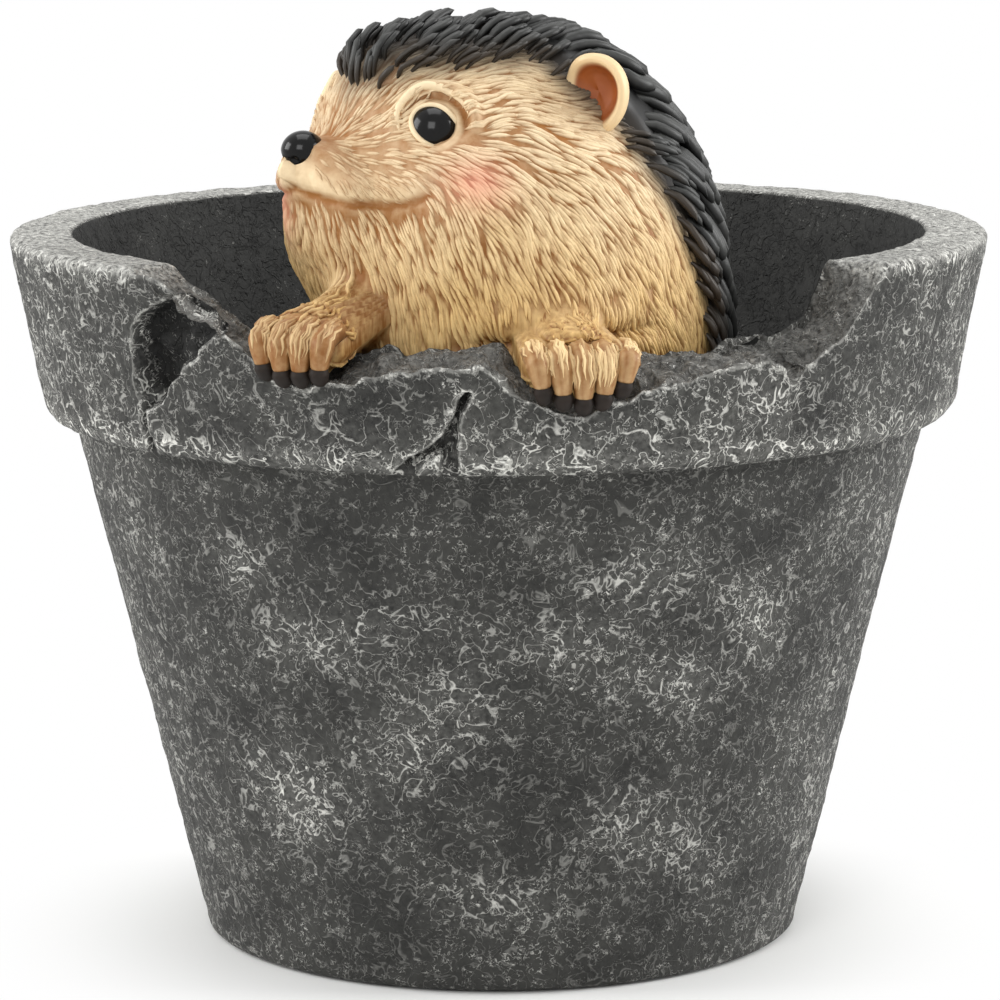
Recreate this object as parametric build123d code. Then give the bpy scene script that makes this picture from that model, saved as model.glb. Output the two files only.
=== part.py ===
"""Hedgehog planter: a stone-look flower pot with a broken rim and a hedgehog climbing out of it.

Millimetres, +Z up, origin at the centre of the pot's underside. The break in the rim faces -Y.
The pot, the figure and its glued-on details are separate castings, and a rubber bung closes the drain.
"""

import os
from math import atan2, cos, degrees, pi, radians, sin, sqrt

from build123d import *

# Pot
POT_HEIGHT = 145.0
RIM_RADIUS = 100.0
RIM_WALL = 13.5
RIM_ROUND = 2.5
COLLAR_HEIGHT = 37.3
COLLAR_FOOT_RADIUS = 92.8
COLLAR_STEP = 5.4
COLLAR_ROUND = 3.0
BASE_RADIUS = 61.0
BASE_ROUND = 2.5
BASE_WALL = 8.0
FLOOR_THICKNESS = 10.0
FLOOR_ROUND = 4.0
FOOT_RING_WIDTH = 12.0
FOOT_RING_HEIGHT = 3.0

# Drain and its bung
DRAIN_RADIUS = 6.0
BUNG_CLEARANCE = 0.06
BUNG_FLANGE_RADIUS = 10.0
BUNG_FLANGE_THICKNESS = 2.5
BUNG_TIP_TAPER = 1.2
BUNG_TAB_WIDTH = 9.0
BUNG_TAB_HEIGHT = 8.0
BUNG_TAB_THICKNESS = 3.0
BUNG_TAB_HOLE_RADIUS = 2.0

# Broken rim: (x, drop below the rim) along its inner and its outer edge, left to right
SEAT_DROP = 15.0
BREAK_INNER = [(-64, 0), (-59, 5), (-47, 13), (-36, 15), (-18, 15.5), (-3, 13.5), (12, 15.5),
               (29, 15.5), (45, 13.5), (51, 13), (57, 12), (60, 4), (63, 0)]
BREAK_OUTER = [(-73, 0), (-63, 5), (-51, 12.5), (-42, 20), (-25, 17.5), (-6, 14.5), (16, 23),
               (33, 19), (49, 16), (56, 21), (67, 12), (70, 3), (75, 0)]
BREAK_HEADROOM = 8.0
BREAK_INNER_AT = 51.0

# Spalled flake on the outside of the collar, left of the break: (x, drop) round its outline
FLAKE_OUTLINE = [(-66, 10), (-73, 16), (-70, 34), (-61, 27), (-50, 15)]
FLAKE_DEPTH = 4.0

# Figure
GLUE_GAP = 0.2
FIGURE_OFFSET_X = 4.0
WALL_BITE = 0.7
TORSO_HALF_WIDTH = 38.0
TORSO_HALF_DEPTH = 36.0
TORSO_HALF_HEIGHT = 56.0
TORSO_END = 0.975
HEAD_TURN = 56.0
HEAD_SHIFT = (-16.0, -2.0, 29.0)
# Head sections along the nose line: (ahead of the head's centre, half width, top, bottom, sag of the cheeks)
HEAD_SECTIONS = [(-28, 11, 10, -10, 0), (-20, 24, 22, -22, 0), (-8, 31, 27.5, -28, 0.08),
                 (4, 32, 27.5, -30, 0.22), (13, 29.5, 25.5, -30, 0.38), (19, 25.5, 21.5, -27.5, 0.38),
                 (24, 20, 16.5, -22.5, 0.3), (28, 13, 13, -14, 0.15), (30.5, 7, 11, -4, 0)]
MOUTH_RADIUS = 60.0
MOUTH_DROP = 3.0
MOUTH_WIDTH = 1.2
MOUTH_DEPTH = 1.2
MOUTH_BACK = 17.0

# Face pieces
EYE_RADIUS = 6.0
EYE_AHEAD, EYE_OUT, EYE_RISE = 11.5, 16.0, 12.5
EYE_AIM_OUT = 55.0
EYE_AIM_UP = 22.0
LID_RADIUS = 1.3
LID_SET = 4.1
NOSE_RADIUS = 4.0
NOSE_AHEAD, NOSE_RISE = 31.5, 8.5
PEG_RADIUS = 1.6
PEG_LENGTH = 6.0

# Ears
EAR_RADIUS = 7.6
EAR_DEPTH = 5.0
EAR_WALL = 1.8
EAR_PEG_RADIUS = 3.2
EAR_PEG_LENGTH = 9.0
EAR_AHEAD, EAR_OUT, EAR_RISE = -17.0, 29.0, 18.5
EAR_AIM_OUT = 35.0

# Quill mantle
MANTLE_THICKNESS = 3.3
HAIRLINE_TURN = 30.0
# Hairline seen from the figure's side: (ahead of the trunk's centre, above the seat)
HAIRLINE = [(90, 51), (8, 54), (-10, 7), (-14, -75)]
QUILL_LENGTH = 11.5
QUILL_ROOT_LENGTH = 4.0
QUILL_RADIUS = 2.3
QUILL_END_RADIUS = 0.5
QUILL_SINK = 1.0
QUILL_LIFT = 12.0
QUILL_ROW_PITCH = 7.2
QUILL_PITCH = 5.6
QUILL_FIRST_ROW = 14.0
QUILL_REACH = 125.0
CROWN_TILT = 37.0

# Forepaws
FINGER_RADIUS = 2.7
FINGER_PITCH = 4.5
FINGER_REACH = 1.6
FINGER_DROP = 9.0
FINGER_FAN = 1.08
FINGER_SHORTENING = 0.22
FINGER_TIP_RADIUS = 2.4
KNUCKLE_BACK = 4.0
KNUCKLE_RISE = 3.6
HAND_RADIUS = 4.4
WRIST_RADIUS = 5.4
HAND_BACK = 6.5
ARM_RADIUS = 6.5
ARM_ROOT_REACH = 27.0
ARM_ROOT_RISE = 10.0
CLAW_RADIUS = 1.9
CLAW_TIP_RADIUS = 0.8
CLAW_LENGTH = 4.2
CLAW_HOOK = 0.6
RIGHT_PAW_ANGLE, RIGHT_FINGERS, RIGHT_PAW_RISE = -23.3, 4, 1.5
LEFT_PAW_ANGLE, LEFT_FINGERS, LEFT_PAW_RISE = 9.2, 5, -2.0

# Worked out from the sizes above
COLLAR_Z = POT_HEIGHT - COLLAR_HEIGHT
WALL_TOP_RADIUS = COLLAR_FOOT_RADIUS - COLLAR_STEP
FLOOR_Z = FOOT_RING_HEIGHT + FLOOR_THICKNESS
RIM_INNER_RADIUS = RIM_RADIUS - RIM_WALL
FLOOR_RADIUS = BASE_RADIUS - BASE_WALL
SEAT_Z = POT_HEIGHT - SEAT_DROP


def inner_radius(z):
    """Radius of the pot's inner wall at height z."""
    share = (z - FLOOR_Z) / (POT_HEIGHT - FLOOR_Z)
    return FLOOR_RADIUS + share * (RIM_INNER_RADIUS - FLOOR_RADIUS)


def collar_radius(z):
    """Radius of the collar's outer face at height z."""
    share = (z - COLLAR_Z) / COLLAR_HEIGHT
    return COLLAR_FOOT_RADIUS + share * (RIM_RADIUS - COLLAR_FOOT_RADIUS)


TORSO_CENTRE = Vector(FIGURE_OFFSET_X, TORSO_HALF_DEPTH - WALL_BITE - inner_radius(SEAT_Z), SEAT_Z)
HEAD_CENTRE = TORSO_CENTRE + Vector(*HEAD_SHIFT)


def turned_plane(centre, turn):
    """A plane whose normal points forward, turned to the figure's right of -Y; its x is the figure's left."""
    forward = Vector(-sin(radians(turn)), -cos(radians(turn)), 0)
    left = Vector(cos(radians(turn)), -sin(radians(turn)), 0)
    return Plane(origin=centre, x_dir=left, z_dir=forward)


HEAD = turned_plane(HEAD_CENTRE, HEAD_TURN)


def head_point(ahead, out, rise):
    """A point given from the head's centre: ahead along the nose line, out to the left, and up."""
    return HEAD.origin + HEAD.z_dir * ahead + HEAD.x_dir * out + Vector(0, 0, 1) * rise


def capsule(start, end, start_radius, end_radius):
    """A tapered round bar with rounded ends, revolved about the line from start to end."""
    length = (end - start).length
    slant = sqrt(0.5)
    outline = [
        ThreePointArc((0, -start_radius), (slant * start_radius, -slant * start_radius), (start_radius, 0)),
        Line((start_radius, 0), (end_radius, length)),
        ThreePointArc((end_radius, length), (slant * end_radius, length + slant * end_radius),
                      (0, length + end_radius)),
        Line((0, length + end_radius), (0, -start_radius)),
    ]
    bar = revolve(Plane.XZ * make_face(outline), Axis.Z)
    return Plane(origin=start, z_dir=end - start) * bar


# Pot


def pot_profile(grow):
    """Half section of the pot; grow thickens the wall, to cut clearance in what seats on it."""
    outline = Polyline(
        (0, FOOT_RING_HEIGHT),
        (BASE_RADIUS - FOOT_RING_WIDTH, FOOT_RING_HEIGHT),
        (BASE_RADIUS - FOOT_RING_WIDTH, 0),
        (BASE_RADIUS, 0),
        (WALL_TOP_RADIUS, COLLAR_Z),
        (COLLAR_FOOT_RADIUS, COLLAR_Z),
        (RIM_RADIUS + grow, POT_HEIGHT),
        (RIM_INNER_RADIUS - grow, POT_HEIGHT),
        (FLOOR_RADIUS - grow, FLOOR_Z),
        (0, FLOOR_Z),
        close=True,
    )
    face = make_face(outline)

    def corner(radius, z):
        return [v for v in face.vertices() if abs(v.X - radius) < 0.01 and abs(v.Y - z) < 0.01]

    face = fillet(corner(RIM_RADIUS + grow, POT_HEIGHT), RIM_ROUND)
    face = fillet(corner(RIM_INNER_RADIUS - grow, POT_HEIGHT), RIM_ROUND)
    face = fillet(corner(COLLAR_FOOT_RADIUS, COLLAR_Z), COLLAR_ROUND)
    face = fillet(corner(BASE_RADIUS, 0), BASE_ROUND)
    return fillet(corner(FLOOR_RADIUS - grow, FLOOR_Z), FLOOR_ROUND)


def break_cutter(grow):
    """The wedge that the broken rim lacks, between its inner and its outer edge; grow makes it smaller."""

    def edge(y, points):
        top = POT_HEIGHT + BREAK_HEADROOM
        low = [(x, POT_HEIGHT - drop + grow) for x, drop in points]
        corners = [(low[0][0], top), *low, (low[-1][0], top)]
        return Plane.XZ.offset(-y) * make_face(Polyline(*corners, close=True))

    outside = -RIM_RADIUS - BREAK_HEADROOM
    return loft([edge(-BREAK_INNER_AT, BREAK_INNER), edge(outside, BREAK_OUTER)], ruled=True)


def flake_cutter():
    """A shallow facet behind the collar's outer face, deepest at its left edge."""
    points = [(x, POT_HEIGHT - drop) for x, drop in FLAKE_OUTLINE]
    left = min(x for x, _ in points)
    middle = sum(x for x, _ in points) / len(points)
    turn = degrees(atan2(middle, RIM_RADIUS))
    prism = extrude(Plane.XZ.offset(RIM_RADIUS) * make_face(Polyline(*points, close=True)), -RIM_RADIUS)
    face_y = -sqrt(collar_radius(SEAT_Z) ** 2 - left**2)
    slab = Box(2 * RIM_RADIUS, RIM_RADIUS, 2 * POT_HEIGHT, align=(Align.MIN, Align.MAX, Align.CENTER))
    return prism & Pos(left, face_y + FLAKE_DEPTH, POT_HEIGHT) * Rot(0, 0, turn) * slab


def pot_form(grow=0.0):
    """The pot: revolved section, broken rim and spalled flake."""
    form = revolve(Plane.XZ * pot_profile(grow), Axis.Z)
    return form - break_cutter(grow) - flake_cutter()


def make_pot():
    drain = Cylinder(DRAIN_RADIUS, 4 * FLOOR_Z)
    return pot_form() - drain


def make_drain_plug():
    """Rubber bung, dropped in from inside: tapered shank, flange on the floor and a holed pull tab."""
    shank_radius = DRAIN_RADIUS - BUNG_CLEARANCE
    lead = FLOOR_THICKNESS / 3
    top = FLOOR_Z + BUNG_FLANGE_THICKNESS
    half_section = Polyline(
        (0, FOOT_RING_HEIGHT),
        (shank_radius - BUNG_TIP_TAPER, FOOT_RING_HEIGHT),
        (shank_radius, FOOT_RING_HEIGHT + lead),
        (shank_radius, FLOOR_Z),
        (BUNG_FLANGE_RADIUS, FLOOR_Z),
        (BUNG_FLANGE_RADIUS - BUNG_FLANGE_THICKNESS / 2, top),
        (0, top),
        close=True,
    )
    plug = revolve(Plane.XZ * make_face(half_section), Axis.Z)
    tab_face = RectangleRounded(BUNG_TAB_WIDTH, 2 * BUNG_TAB_HEIGHT, BUNG_TAB_WIDTH * 0.45)
    tab_face -= Pos(0, BUNG_TAB_HEIGHT / 2) * Circle(BUNG_TAB_HOLE_RADIUS)
    tab = extrude(Plane.XZ * tab_face, BUNG_TAB_THICKNESS / 2, both=True)
    keep = Box(*[2 * BUNG_TAB_WIDTH] * 2, BUNG_TAB_HEIGHT, align=(Align.CENTER, Align.CENTER, Align.MIN))
    return plug + Pos(0, 0, top) * (tab & keep)


# Hedgehog


def torso_form(grow=0.0):
    """Egg-shaped trunk, lofted through level ellipses."""
    half_width = TORSO_HALF_WIDTH + grow
    half_depth = TORSO_HALF_DEPTH + grow
    half_height = TORSO_HALF_HEIGHT + grow
    shares = [TORSO_END * s for s in (-1, -0.92, -0.7, -0.35, 0, 0.35, 0.7, 0.92, 1)]
    sections = []
    for share in shares:
        waist = sqrt(1 - share**2)
        level = Pos(*TORSO_CENTRE) * Pos(0, 0, share * half_height)
        sections.append(level * Ellipse(half_width * waist, half_depth * waist))
    return loft(sections)


def skull_form(grow=0.0):
    """Head and muzzle, lofted along the nose line through pear-shaped sections that carry the cheeks."""
    last = len(HEAD_SECTIONS) - 1
    sections = []
    for index, (ahead, half_width, top, bottom, sag) in enumerate(HEAD_SECTIONS):
        width = half_width + grow
        height = (top - bottom) / 2 + grow
        points = []
        for step in range(8):
            turn = step * pi / 4
            points.append((width * cos(turn) * (1 - sag * sin(turn)), height * sin(turn)))
        end_shift = {0: -grow, last: grow}.get(index, 0.0)
        place = HEAD.offset(ahead + end_shift) * Pos(0, (top + bottom) / 2)
        sections.append(place * make_face(Spline(*points, periodic=True)))
    return loft(sections)


def figure_form(grow=0.0):
    """Trunk and head as one skin."""
    return torso_form(grow) + skull_form(grow)


def eye_plane(side):
    """Plane at an eye's centre whose normal is the way the eye looks."""
    aim = HEAD.z_dir * cos(radians(EYE_AIM_OUT)) + HEAD.x_dir * (side * sin(radians(EYE_AIM_OUT)))
    aim += Vector(0, 0, sin(radians(EYE_AIM_UP)))
    return Plane(origin=head_point(EYE_AHEAD, side * EYE_OUT, EYE_RISE), z_dir=aim)


def lid_form(side):
    """A raised ring of eyelid where the eye leaves the face."""
    return eye_plane(side) * Pos(0, 0, LID_SET) * Torus(sqrt(EYE_RADIUS**2 - LID_SET**2), LID_RADIUS)


def pegged_ball(plane, radius, grow=0.0):
    """A ball with a locating peg behind it."""
    peg = Cylinder(PEG_RADIUS + grow, radius + PEG_LENGTH + grow, align=(Align.CENTER, Align.CENTER, Align.MAX))
    return plane * (Sphere(radius + grow) + peg)


def eye_form(side, grow=0.0):
    return pegged_ball(eye_plane(side), EYE_RADIUS, grow)


def nose_form(grow=0.0):
    place = Plane(origin=head_point(NOSE_AHEAD, 0, NOSE_RISE), z_dir=HEAD.z_dir)
    return pegged_ball(place, NOSE_RADIUS, grow)


def ear_plane(side):
    """Plane across an ear's mouth whose normal is the way the ear opens."""
    aim = HEAD.z_dir * cos(radians(EAR_AIM_OUT)) + HEAD.x_dir * (side * sin(radians(EAR_AIM_OUT)))
    return Plane(origin=head_point(EAR_AHEAD, side * EAR_OUT, EAR_RISE), z_dir=aim)


def half_ellipsoid(radius, depth):
    """The lower half of a round ellipsoid about Z."""
    bowl = EllipticalCenterArc((0, 0), radius, depth, start_angle=-90, arc_size=90)
    return revolve(Plane.XZ * make_face([bowl, Line(bowl @ 1, (0, 0)), Line((0, 0), bowl @ 0)]), Axis.Z)


def ear_form(side, grow=0.0):
    """Filled outside of an ear, with the round peg that roots it in the head."""
    plane = ear_plane(side)
    root = HEAD.x_dir * -side
    start = plane.origin - plane.z_dir * EAR_PEG_RADIUS
    peg = Cylinder(EAR_PEG_RADIUS + grow, EAR_RADIUS + EAR_PEG_LENGTH + grow,
                   align=(Align.CENTER, Align.CENTER, Align.MIN))
    return plane * half_ellipsoid(EAR_RADIUS + grow, EAR_DEPTH + grow) + Plane(origin=start, z_dir=root) * peg


def make_ear(side):
    """A cupped ear, open ahead and outwards."""
    cup = half_ellipsoid(EAR_RADIUS - EAR_WALL, EAR_DEPTH - EAR_WALL)
    return ear_form(side) - ear_plane(side) * cup


def mouth_cutter():
    """A smile line of even depth round the front of the muzzle."""
    depth = NOSE_AHEAD
    ring = Cylinder(MOUTH_RADIUS, depth) - Cylinder(MOUTH_RADIUS - MOUTH_WIDTH, depth)
    lower = Pos(0, -MOUTH_RADIUS) * Box(MOUTH_RADIUS, MOUTH_RADIUS, depth)
    place = HEAD.offset(MOUTH_BACK + depth / 2) * Pos(0, MOUTH_RADIUS - MOUTH_DROP)
    return place * (ring & lower) - skull_form(-MOUTH_DEPTH)


def paw_frame(angle, rise):
    """(outward, place) at a paw: place(radius, offset along the rim, z above the seat) is a point."""
    outward = Vector(sin(radians(angle)), -cos(radians(angle)), 0)
    along = Vector(cos(radians(angle)), sin(radians(angle)), 0)

    def place(radius, offset, z):
        return outward * radius + along * offset + Vector(0, 0, SEAT_Z + rise + z)

    return outward, place


def finger_lines(angle, count, rise):
    """The (knuckle, tip) points of each finger, side by side over the rim's outer edge."""
    _, place = paw_frame(angle, rise)
    outer = collar_radius(SEAT_Z)
    lines = []
    for index in range(count):
        spread = (index - (count - 1) / 2) * FINGER_PITCH
        sag = outer - sqrt(outer**2 - spread**2)
        short = abs(spread) * FINGER_SHORTENING
        knuckle = place(outer - KNUCKLE_BACK - sag, spread, KNUCKLE_RISE)
        tip = place(outer + FINGER_REACH - sag, spread * FINGER_FAN, KNUCKLE_RISE - FINGER_DROP + short)
        lines.append((knuckle, tip))
    return lines


def claws_form(angle, count, rise, grow=0.0):
    claws = []
    for knuckle, tip in finger_lines(angle, count, rise):
        way = (tip - knuckle).normalized() + Vector(0, 0, -CLAW_HOOK)
        end = tip + way.normalized() * CLAW_LENGTH
        claws.append(capsule(tip, end, CLAW_RADIUS + grow, CLAW_TIP_RADIUS + grow))
    return claws


def paw_form(angle, count, rise, grow=0.0):
    """Forearm, hand and fingers of one forepaw."""
    outward, place = paw_frame(angle, rise)
    outer = collar_radius(SEAT_Z)
    lines = finger_lines(angle, count, rise)
    first, final = lines[0][0], lines[-1][0]
    back = outward * -(HAND_BACK - KNUCKLE_BACK)
    hand = capsule(first + back, final + back, HAND_RADIUS + grow, HAND_RADIUS + grow)
    wrist = place(outer - HAND_BACK, 0, KNUCKLE_RISE)
    root = TORSO_CENTRE + (wrist - TORSO_CENTRE).normalized() * ARM_ROOT_REACH + Vector(0, 0, ARM_ROOT_RISE)
    arm = capsule(root, wrist, ARM_RADIUS + grow, WRIST_RADIUS + grow)
    paw = hand + arm
    for knuckle, tip in lines:
        paw += capsule(knuckle, tip, FINGER_RADIUS + grow, FINGER_TIP_RADIUS + grow)
    return paw


def hairline_cutter():
    """Everything ahead of the hairline, where the fur shows."""
    side = turned_plane(TORSO_CENTRE, HAIRLINE_TURN)
    points = [*HAIRLINE, (HAIRLINE[0][0], HAIRLINE[-1][1])]
    section = make_face(Polyline(*points, close=True))
    view = Plane(origin=side.origin, x_dir=side.z_dir, z_dir=-side.x_dir)
    return extrude(view * section, RIM_RADIUS, both=True)


def behind_hairline(point, margin):
    """Whether a point lies on the quill side of the hairline by at least the margin."""
    local = point - TORSO_CENTRE
    ahead = local.dot(turned_plane(TORSO_CENTRE, HAIRLINE_TURN).z_dir) + margin
    rise = local.Z - margin
    if rise > HAIRLINE[1][1]:
        return True
    for (upper_ahead, upper), (lower_ahead, lower) in zip(HAIRLINE[1:], HAIRLINE[2:]):
        if lower <= rise <= upper:
            share = (rise - lower) / (upper - lower)
            return ahead < lower_ahead + share * (upper_ahead - lower_ahead)
    return False


def quill_rows(skin):
    """Rows of (root, direction) of the quills: staggered rings round the crown, lying back over the mantle."""
    crown = HEAD.z_dir * sin(radians(CROWN_TILT)) + Vector(0, 0, cos(radians(CROWN_TILT)))
    side = HEAD.x_dir
    fore = side.cross(crown)
    centre = (TORSO_CENTRE + HEAD_CENTRE) * 0.5
    ears = [head_point(EAR_AHEAD, s * EAR_OUT, EAR_RISE) for s in (1, -1)]
    lift = radians(QUILL_LIFT)
    row_step = QUILL_ROW_PITCH / TORSO_HALF_DEPTH
    rows = []
    for index in range(int(radians(QUILL_REACH - QUILL_FIRST_ROW) / row_step) + 1):
        polar = radians(QUILL_FIRST_ROW) + index * row_step
        count = max(5, round(2 * pi * TORSO_HALF_DEPTH * sin(polar) / QUILL_PITCH))
        row = []
        for step in range(count):
            turn = 2 * pi * (step + 0.5 * (index % 2)) / count
            way = crown * cos(polar) + (fore * cos(turn) + side * sin(turn)) * sin(polar)
            hits = [hit for hit in skin.find_intersection_points(Axis(centre, way))
                    if (hit[0] - centre).dot(way) > 0]
            if not hits:
                continue
            point, normal = max(hits, key=lambda hit: (hit[0] - centre).length)
            near_ear = min((point - ear).length for ear in ears) < EAR_RADIUS + QUILL_RADIUS
            if near_ear or not behind_hairline(point, QUILL_RADIUS):
                continue
            back = way * cos(polar) - crown
            back = (back - normal * back.dot(normal)).normalized()
            row.append((point - normal * QUILL_SINK, back * cos(lift) + normal * sin(lift)))
        rows.append(row)
    return rows


def quill_form():
    """One quill along +Z: a short swelling root and a long tapered point."""
    half_section = Polyline(
        (0, 0),
        (QUILL_END_RADIUS, 0),
        (QUILL_RADIUS, QUILL_ROOT_LENGTH),
        (QUILL_END_RADIUS, QUILL_LENGTH),
        (0, QUILL_LENGTH),
        close=True,
    )
    return revolve(Plane.XZ * make_face(half_section), Axis.Z)


def make_quill_mantle():
    """The quill mantle: a shell over trunk and head, behind the hairline, with rows of quills on it."""
    skin = figure_form(MANTLE_THICKNESS)
    mantle = skin - figure_form(GLUE_GAP) - hairline_cutter()
    quill = quill_form()
    for row in quill_rows(skin):
        if row:
            mantle += [Plane(origin=root, z_dir=way) * quill for root, way in row]
    ears = [ear_form(side, GLUE_GAP) for side in (1, -1)]
    return mantle - ears


def make_hedgehog_body(seat, paws):
    """Trunk and head, with raised eyelids, a mouth line and sockets for the glued-on pieces."""
    body = figure_form()
    for side in (1, -1):
        body += lid_form(side)
    body -= mouth_cutter()
    for side in (1, -1):
        body -= ear_form(side, GLUE_GAP)
        body -= eye_form(side, GLUE_GAP)
    body -= nose_form(GLUE_GAP)
    for paw in paws:
        body -= paw_form(*paw, GLUE_GAP)
    return body - seat


def make_forepaw(paw, seat):
    return paw_form(*paw) - claws_form(*paw, GLUE_GAP) - seat


def make_claws(paw, seat):
    return Compound(children=[claw - seat for claw in claws_form(*paw)])


def main():
    os.makedirs("parts", exist_ok=True)
    seat = pot_form(GLUE_GAP)
    right_paw = (RIGHT_PAW_ANGLE, RIGHT_FINGERS, RIGHT_PAW_RISE)
    left_paw = (LEFT_PAW_ANGLE, LEFT_FINGERS, LEFT_PAW_RISE)
    parts = {
        "pot": make_pot(),
        "drain_plug": make_drain_plug(),
        "hedgehog_body": make_hedgehog_body(seat, (right_paw, left_paw)),
        "quill_mantle": make_quill_mantle(),
        "left_ear": make_ear(1),
        "right_ear": make_ear(-1),
        "left_eye": eye_form(1),
        "right_eye": eye_form(-1),
        "nose": nose_form(),
        "right_forepaw": make_forepaw(right_paw, seat),
        "left_forepaw": make_forepaw(left_paw, seat),
        "right_claws": make_claws(right_paw, seat),
        "left_claws": make_claws(left_paw, seat),
    }
    for name, shape in parts.items():
        export_step(shape, f"parts/{name}.step")


main()
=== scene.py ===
# %% [markdown]
# # Hedgehog planter
# A stone-look flower pot with a broken rim, and a hedgehog that climbs out through the break.
# The solids from the part's source are loaded as the frame. The pieces that carry sculpted detail are
# worked out again below as dense numpy surfaces in the same place; the plain ones keep their solids.

import bpy
import numpy as np
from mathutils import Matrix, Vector


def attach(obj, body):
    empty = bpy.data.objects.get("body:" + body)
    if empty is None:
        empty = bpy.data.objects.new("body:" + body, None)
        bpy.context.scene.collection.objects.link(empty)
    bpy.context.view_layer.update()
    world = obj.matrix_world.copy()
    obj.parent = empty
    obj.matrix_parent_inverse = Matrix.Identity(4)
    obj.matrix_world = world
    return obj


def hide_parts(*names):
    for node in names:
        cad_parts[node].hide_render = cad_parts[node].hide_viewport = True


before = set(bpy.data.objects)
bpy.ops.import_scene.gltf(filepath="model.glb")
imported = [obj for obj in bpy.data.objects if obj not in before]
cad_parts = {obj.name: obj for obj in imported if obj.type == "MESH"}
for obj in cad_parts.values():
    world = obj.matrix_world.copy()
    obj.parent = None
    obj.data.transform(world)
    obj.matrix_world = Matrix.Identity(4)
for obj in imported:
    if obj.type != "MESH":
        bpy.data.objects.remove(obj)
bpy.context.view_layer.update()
MM = 0.001
rng = np.random.default_rng(11)
print("nodes:", sorted(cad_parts))

# %% [markdown]
# ## Three tools for every piece
# A piece is an array of points in millimetres and an array of four-cornered faces. One helper puts them into
# a mesh, one turns a grid of points into faces, and one gives smooth seeded noise for stone and carving.

# %% Mesh and grid helpers


def put_mesh(name, points, faces, **marks):
    """A mesh object at the origin from points (mm) and face arrays, with named numbers on each point."""
    faces = faces if isinstance(faces, list) else [faces]
    mesh = bpy.data.meshes.new(name)
    flat = np.ascontiguousarray(points.reshape(-1, 3) * MM, dtype=np.float32)
    loops = np.concatenate([f.ravel() for f in faces]).astype(np.int32)
    counts = np.concatenate([np.full(len(f), f.shape[1]) for f in faces])
    starts = np.concatenate([[0], np.cumsum(counts)[:-1]]).astype(np.int32)
    mesh.vertices.add(len(flat))
    mesh.vertices.foreach_set("co", flat.ravel())
    mesh.loops.add(len(loops))
    mesh.loops.foreach_set("vertex_index", loops)
    mesh.polygons.add(len(starts))
    mesh.polygons.foreach_set("loop_start", starts)
    for mark, values in marks.items():
        layer = mesh.attributes.new(mark, "FLOAT", "POINT")
        layer.data.foreach_set("value", np.ascontiguousarray(values.ravel(), dtype=np.float32))
    mesh.update(calc_edges=True)
    mesh.shade_smooth()
    mesh.validate()
    obj = bpy.data.objects.new(name, mesh)
    bpy.context.scene.collection.objects.link(obj)
    print(name, "points", len(flat), "faces", len(starts))
    return obj


def grid_faces(rows, cols, wrap=False):
    """Faces of a grid of points: each joins a point, its right neighbour and the two above; wrap joins the sides."""
    index = np.arange(rows * cols).reshape(rows, cols)
    if wrap:
        index = np.concatenate([index, index[:, :1]], axis=1)
    corners = (index[:-1, :-1], index[:-1, 1:], index[1:, 1:], index[1:, :-1])
    return np.stack([c.ravel() for c in corners], axis=1)


def unit(v):
    """Vectors scaled to length one."""
    return v / (np.linalg.norm(v, axis=-1, keepdims=True) + 1e-12)


def grid_normals(points, wrap):
    """Normals of a grid: the cross product of its differences along columns and along rows."""
    across = np.roll(points, -1, 1) - np.roll(points, 1, 1) if wrap else np.gradient(points, axis=1)
    return unit(np.cross(across, np.gradient(points, axis=0)))


# %% Seeded noise


def noise(points, cell, seed=0):
    """Value noise from -1 to 1: random numbers on a cubic lattice of the cell size, blended by a smoothstep."""
    q = points / cell + 1000.0
    base = np.floor(q).astype(np.int64)
    part = q - base
    part = part * part * (3 - 2 * part)
    total = np.zeros(points.shape[:-1])
    for corner in range(8):
        bits = np.array([corner & 1, corner >> 1 & 1, corner >> 2 & 1])
        x, y, z = np.moveaxis(base + bits, -1, 0)
        mixed = (x * 374761393 + y * 668265263 + z * 1274126177 + seed * 974634777) & 0xFFFFFFFF
        mixed = ((mixed ^ (mixed >> 13)) * 1103515245 + 12345) & 0xFFFFFFFF
        mixed = ((mixed ^ (mixed >> 15)) * 668265263) & 0xFFFFFFFF
        weight = np.prod(np.where(bits, part, 1 - part), axis=-1)
        total += weight * ((mixed >> 8) & 0xFFFF) / 65535.0
    return total * 2 - 1


def rough(points, cell, octaves=3, seed=0):
    """Noise summed over cells that halve in size, each half as strong."""
    return sum(noise(points, cell / 2**k, seed + k) / 2**k for k in range(octaves))


def veins(points, cell, seed=0):
    """Thin crests from 0 to 1 where the noise crosses zero."""
    return np.clip(1 - np.abs(noise(points, cell, seed)) * 3.2, 0, 1)


def step(low, high, value):
    """Smoothstep from 0 at low to 1 at high."""
    t = np.clip((value - low) / (high - low), 0, 1)
    return t * t * (3 - 2 * t)


# %% [markdown]
# ## The pot
# The real pot is cast in a mould taken from a rough, broken stone pot. Its surface is a section carried round the
# axis, so the piece is a grid: columns go round, rows follow the section. The break needs no cutting: the height of
# the rim's outer and inner edge are functions of the angle, and the section ends where they say.

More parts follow.
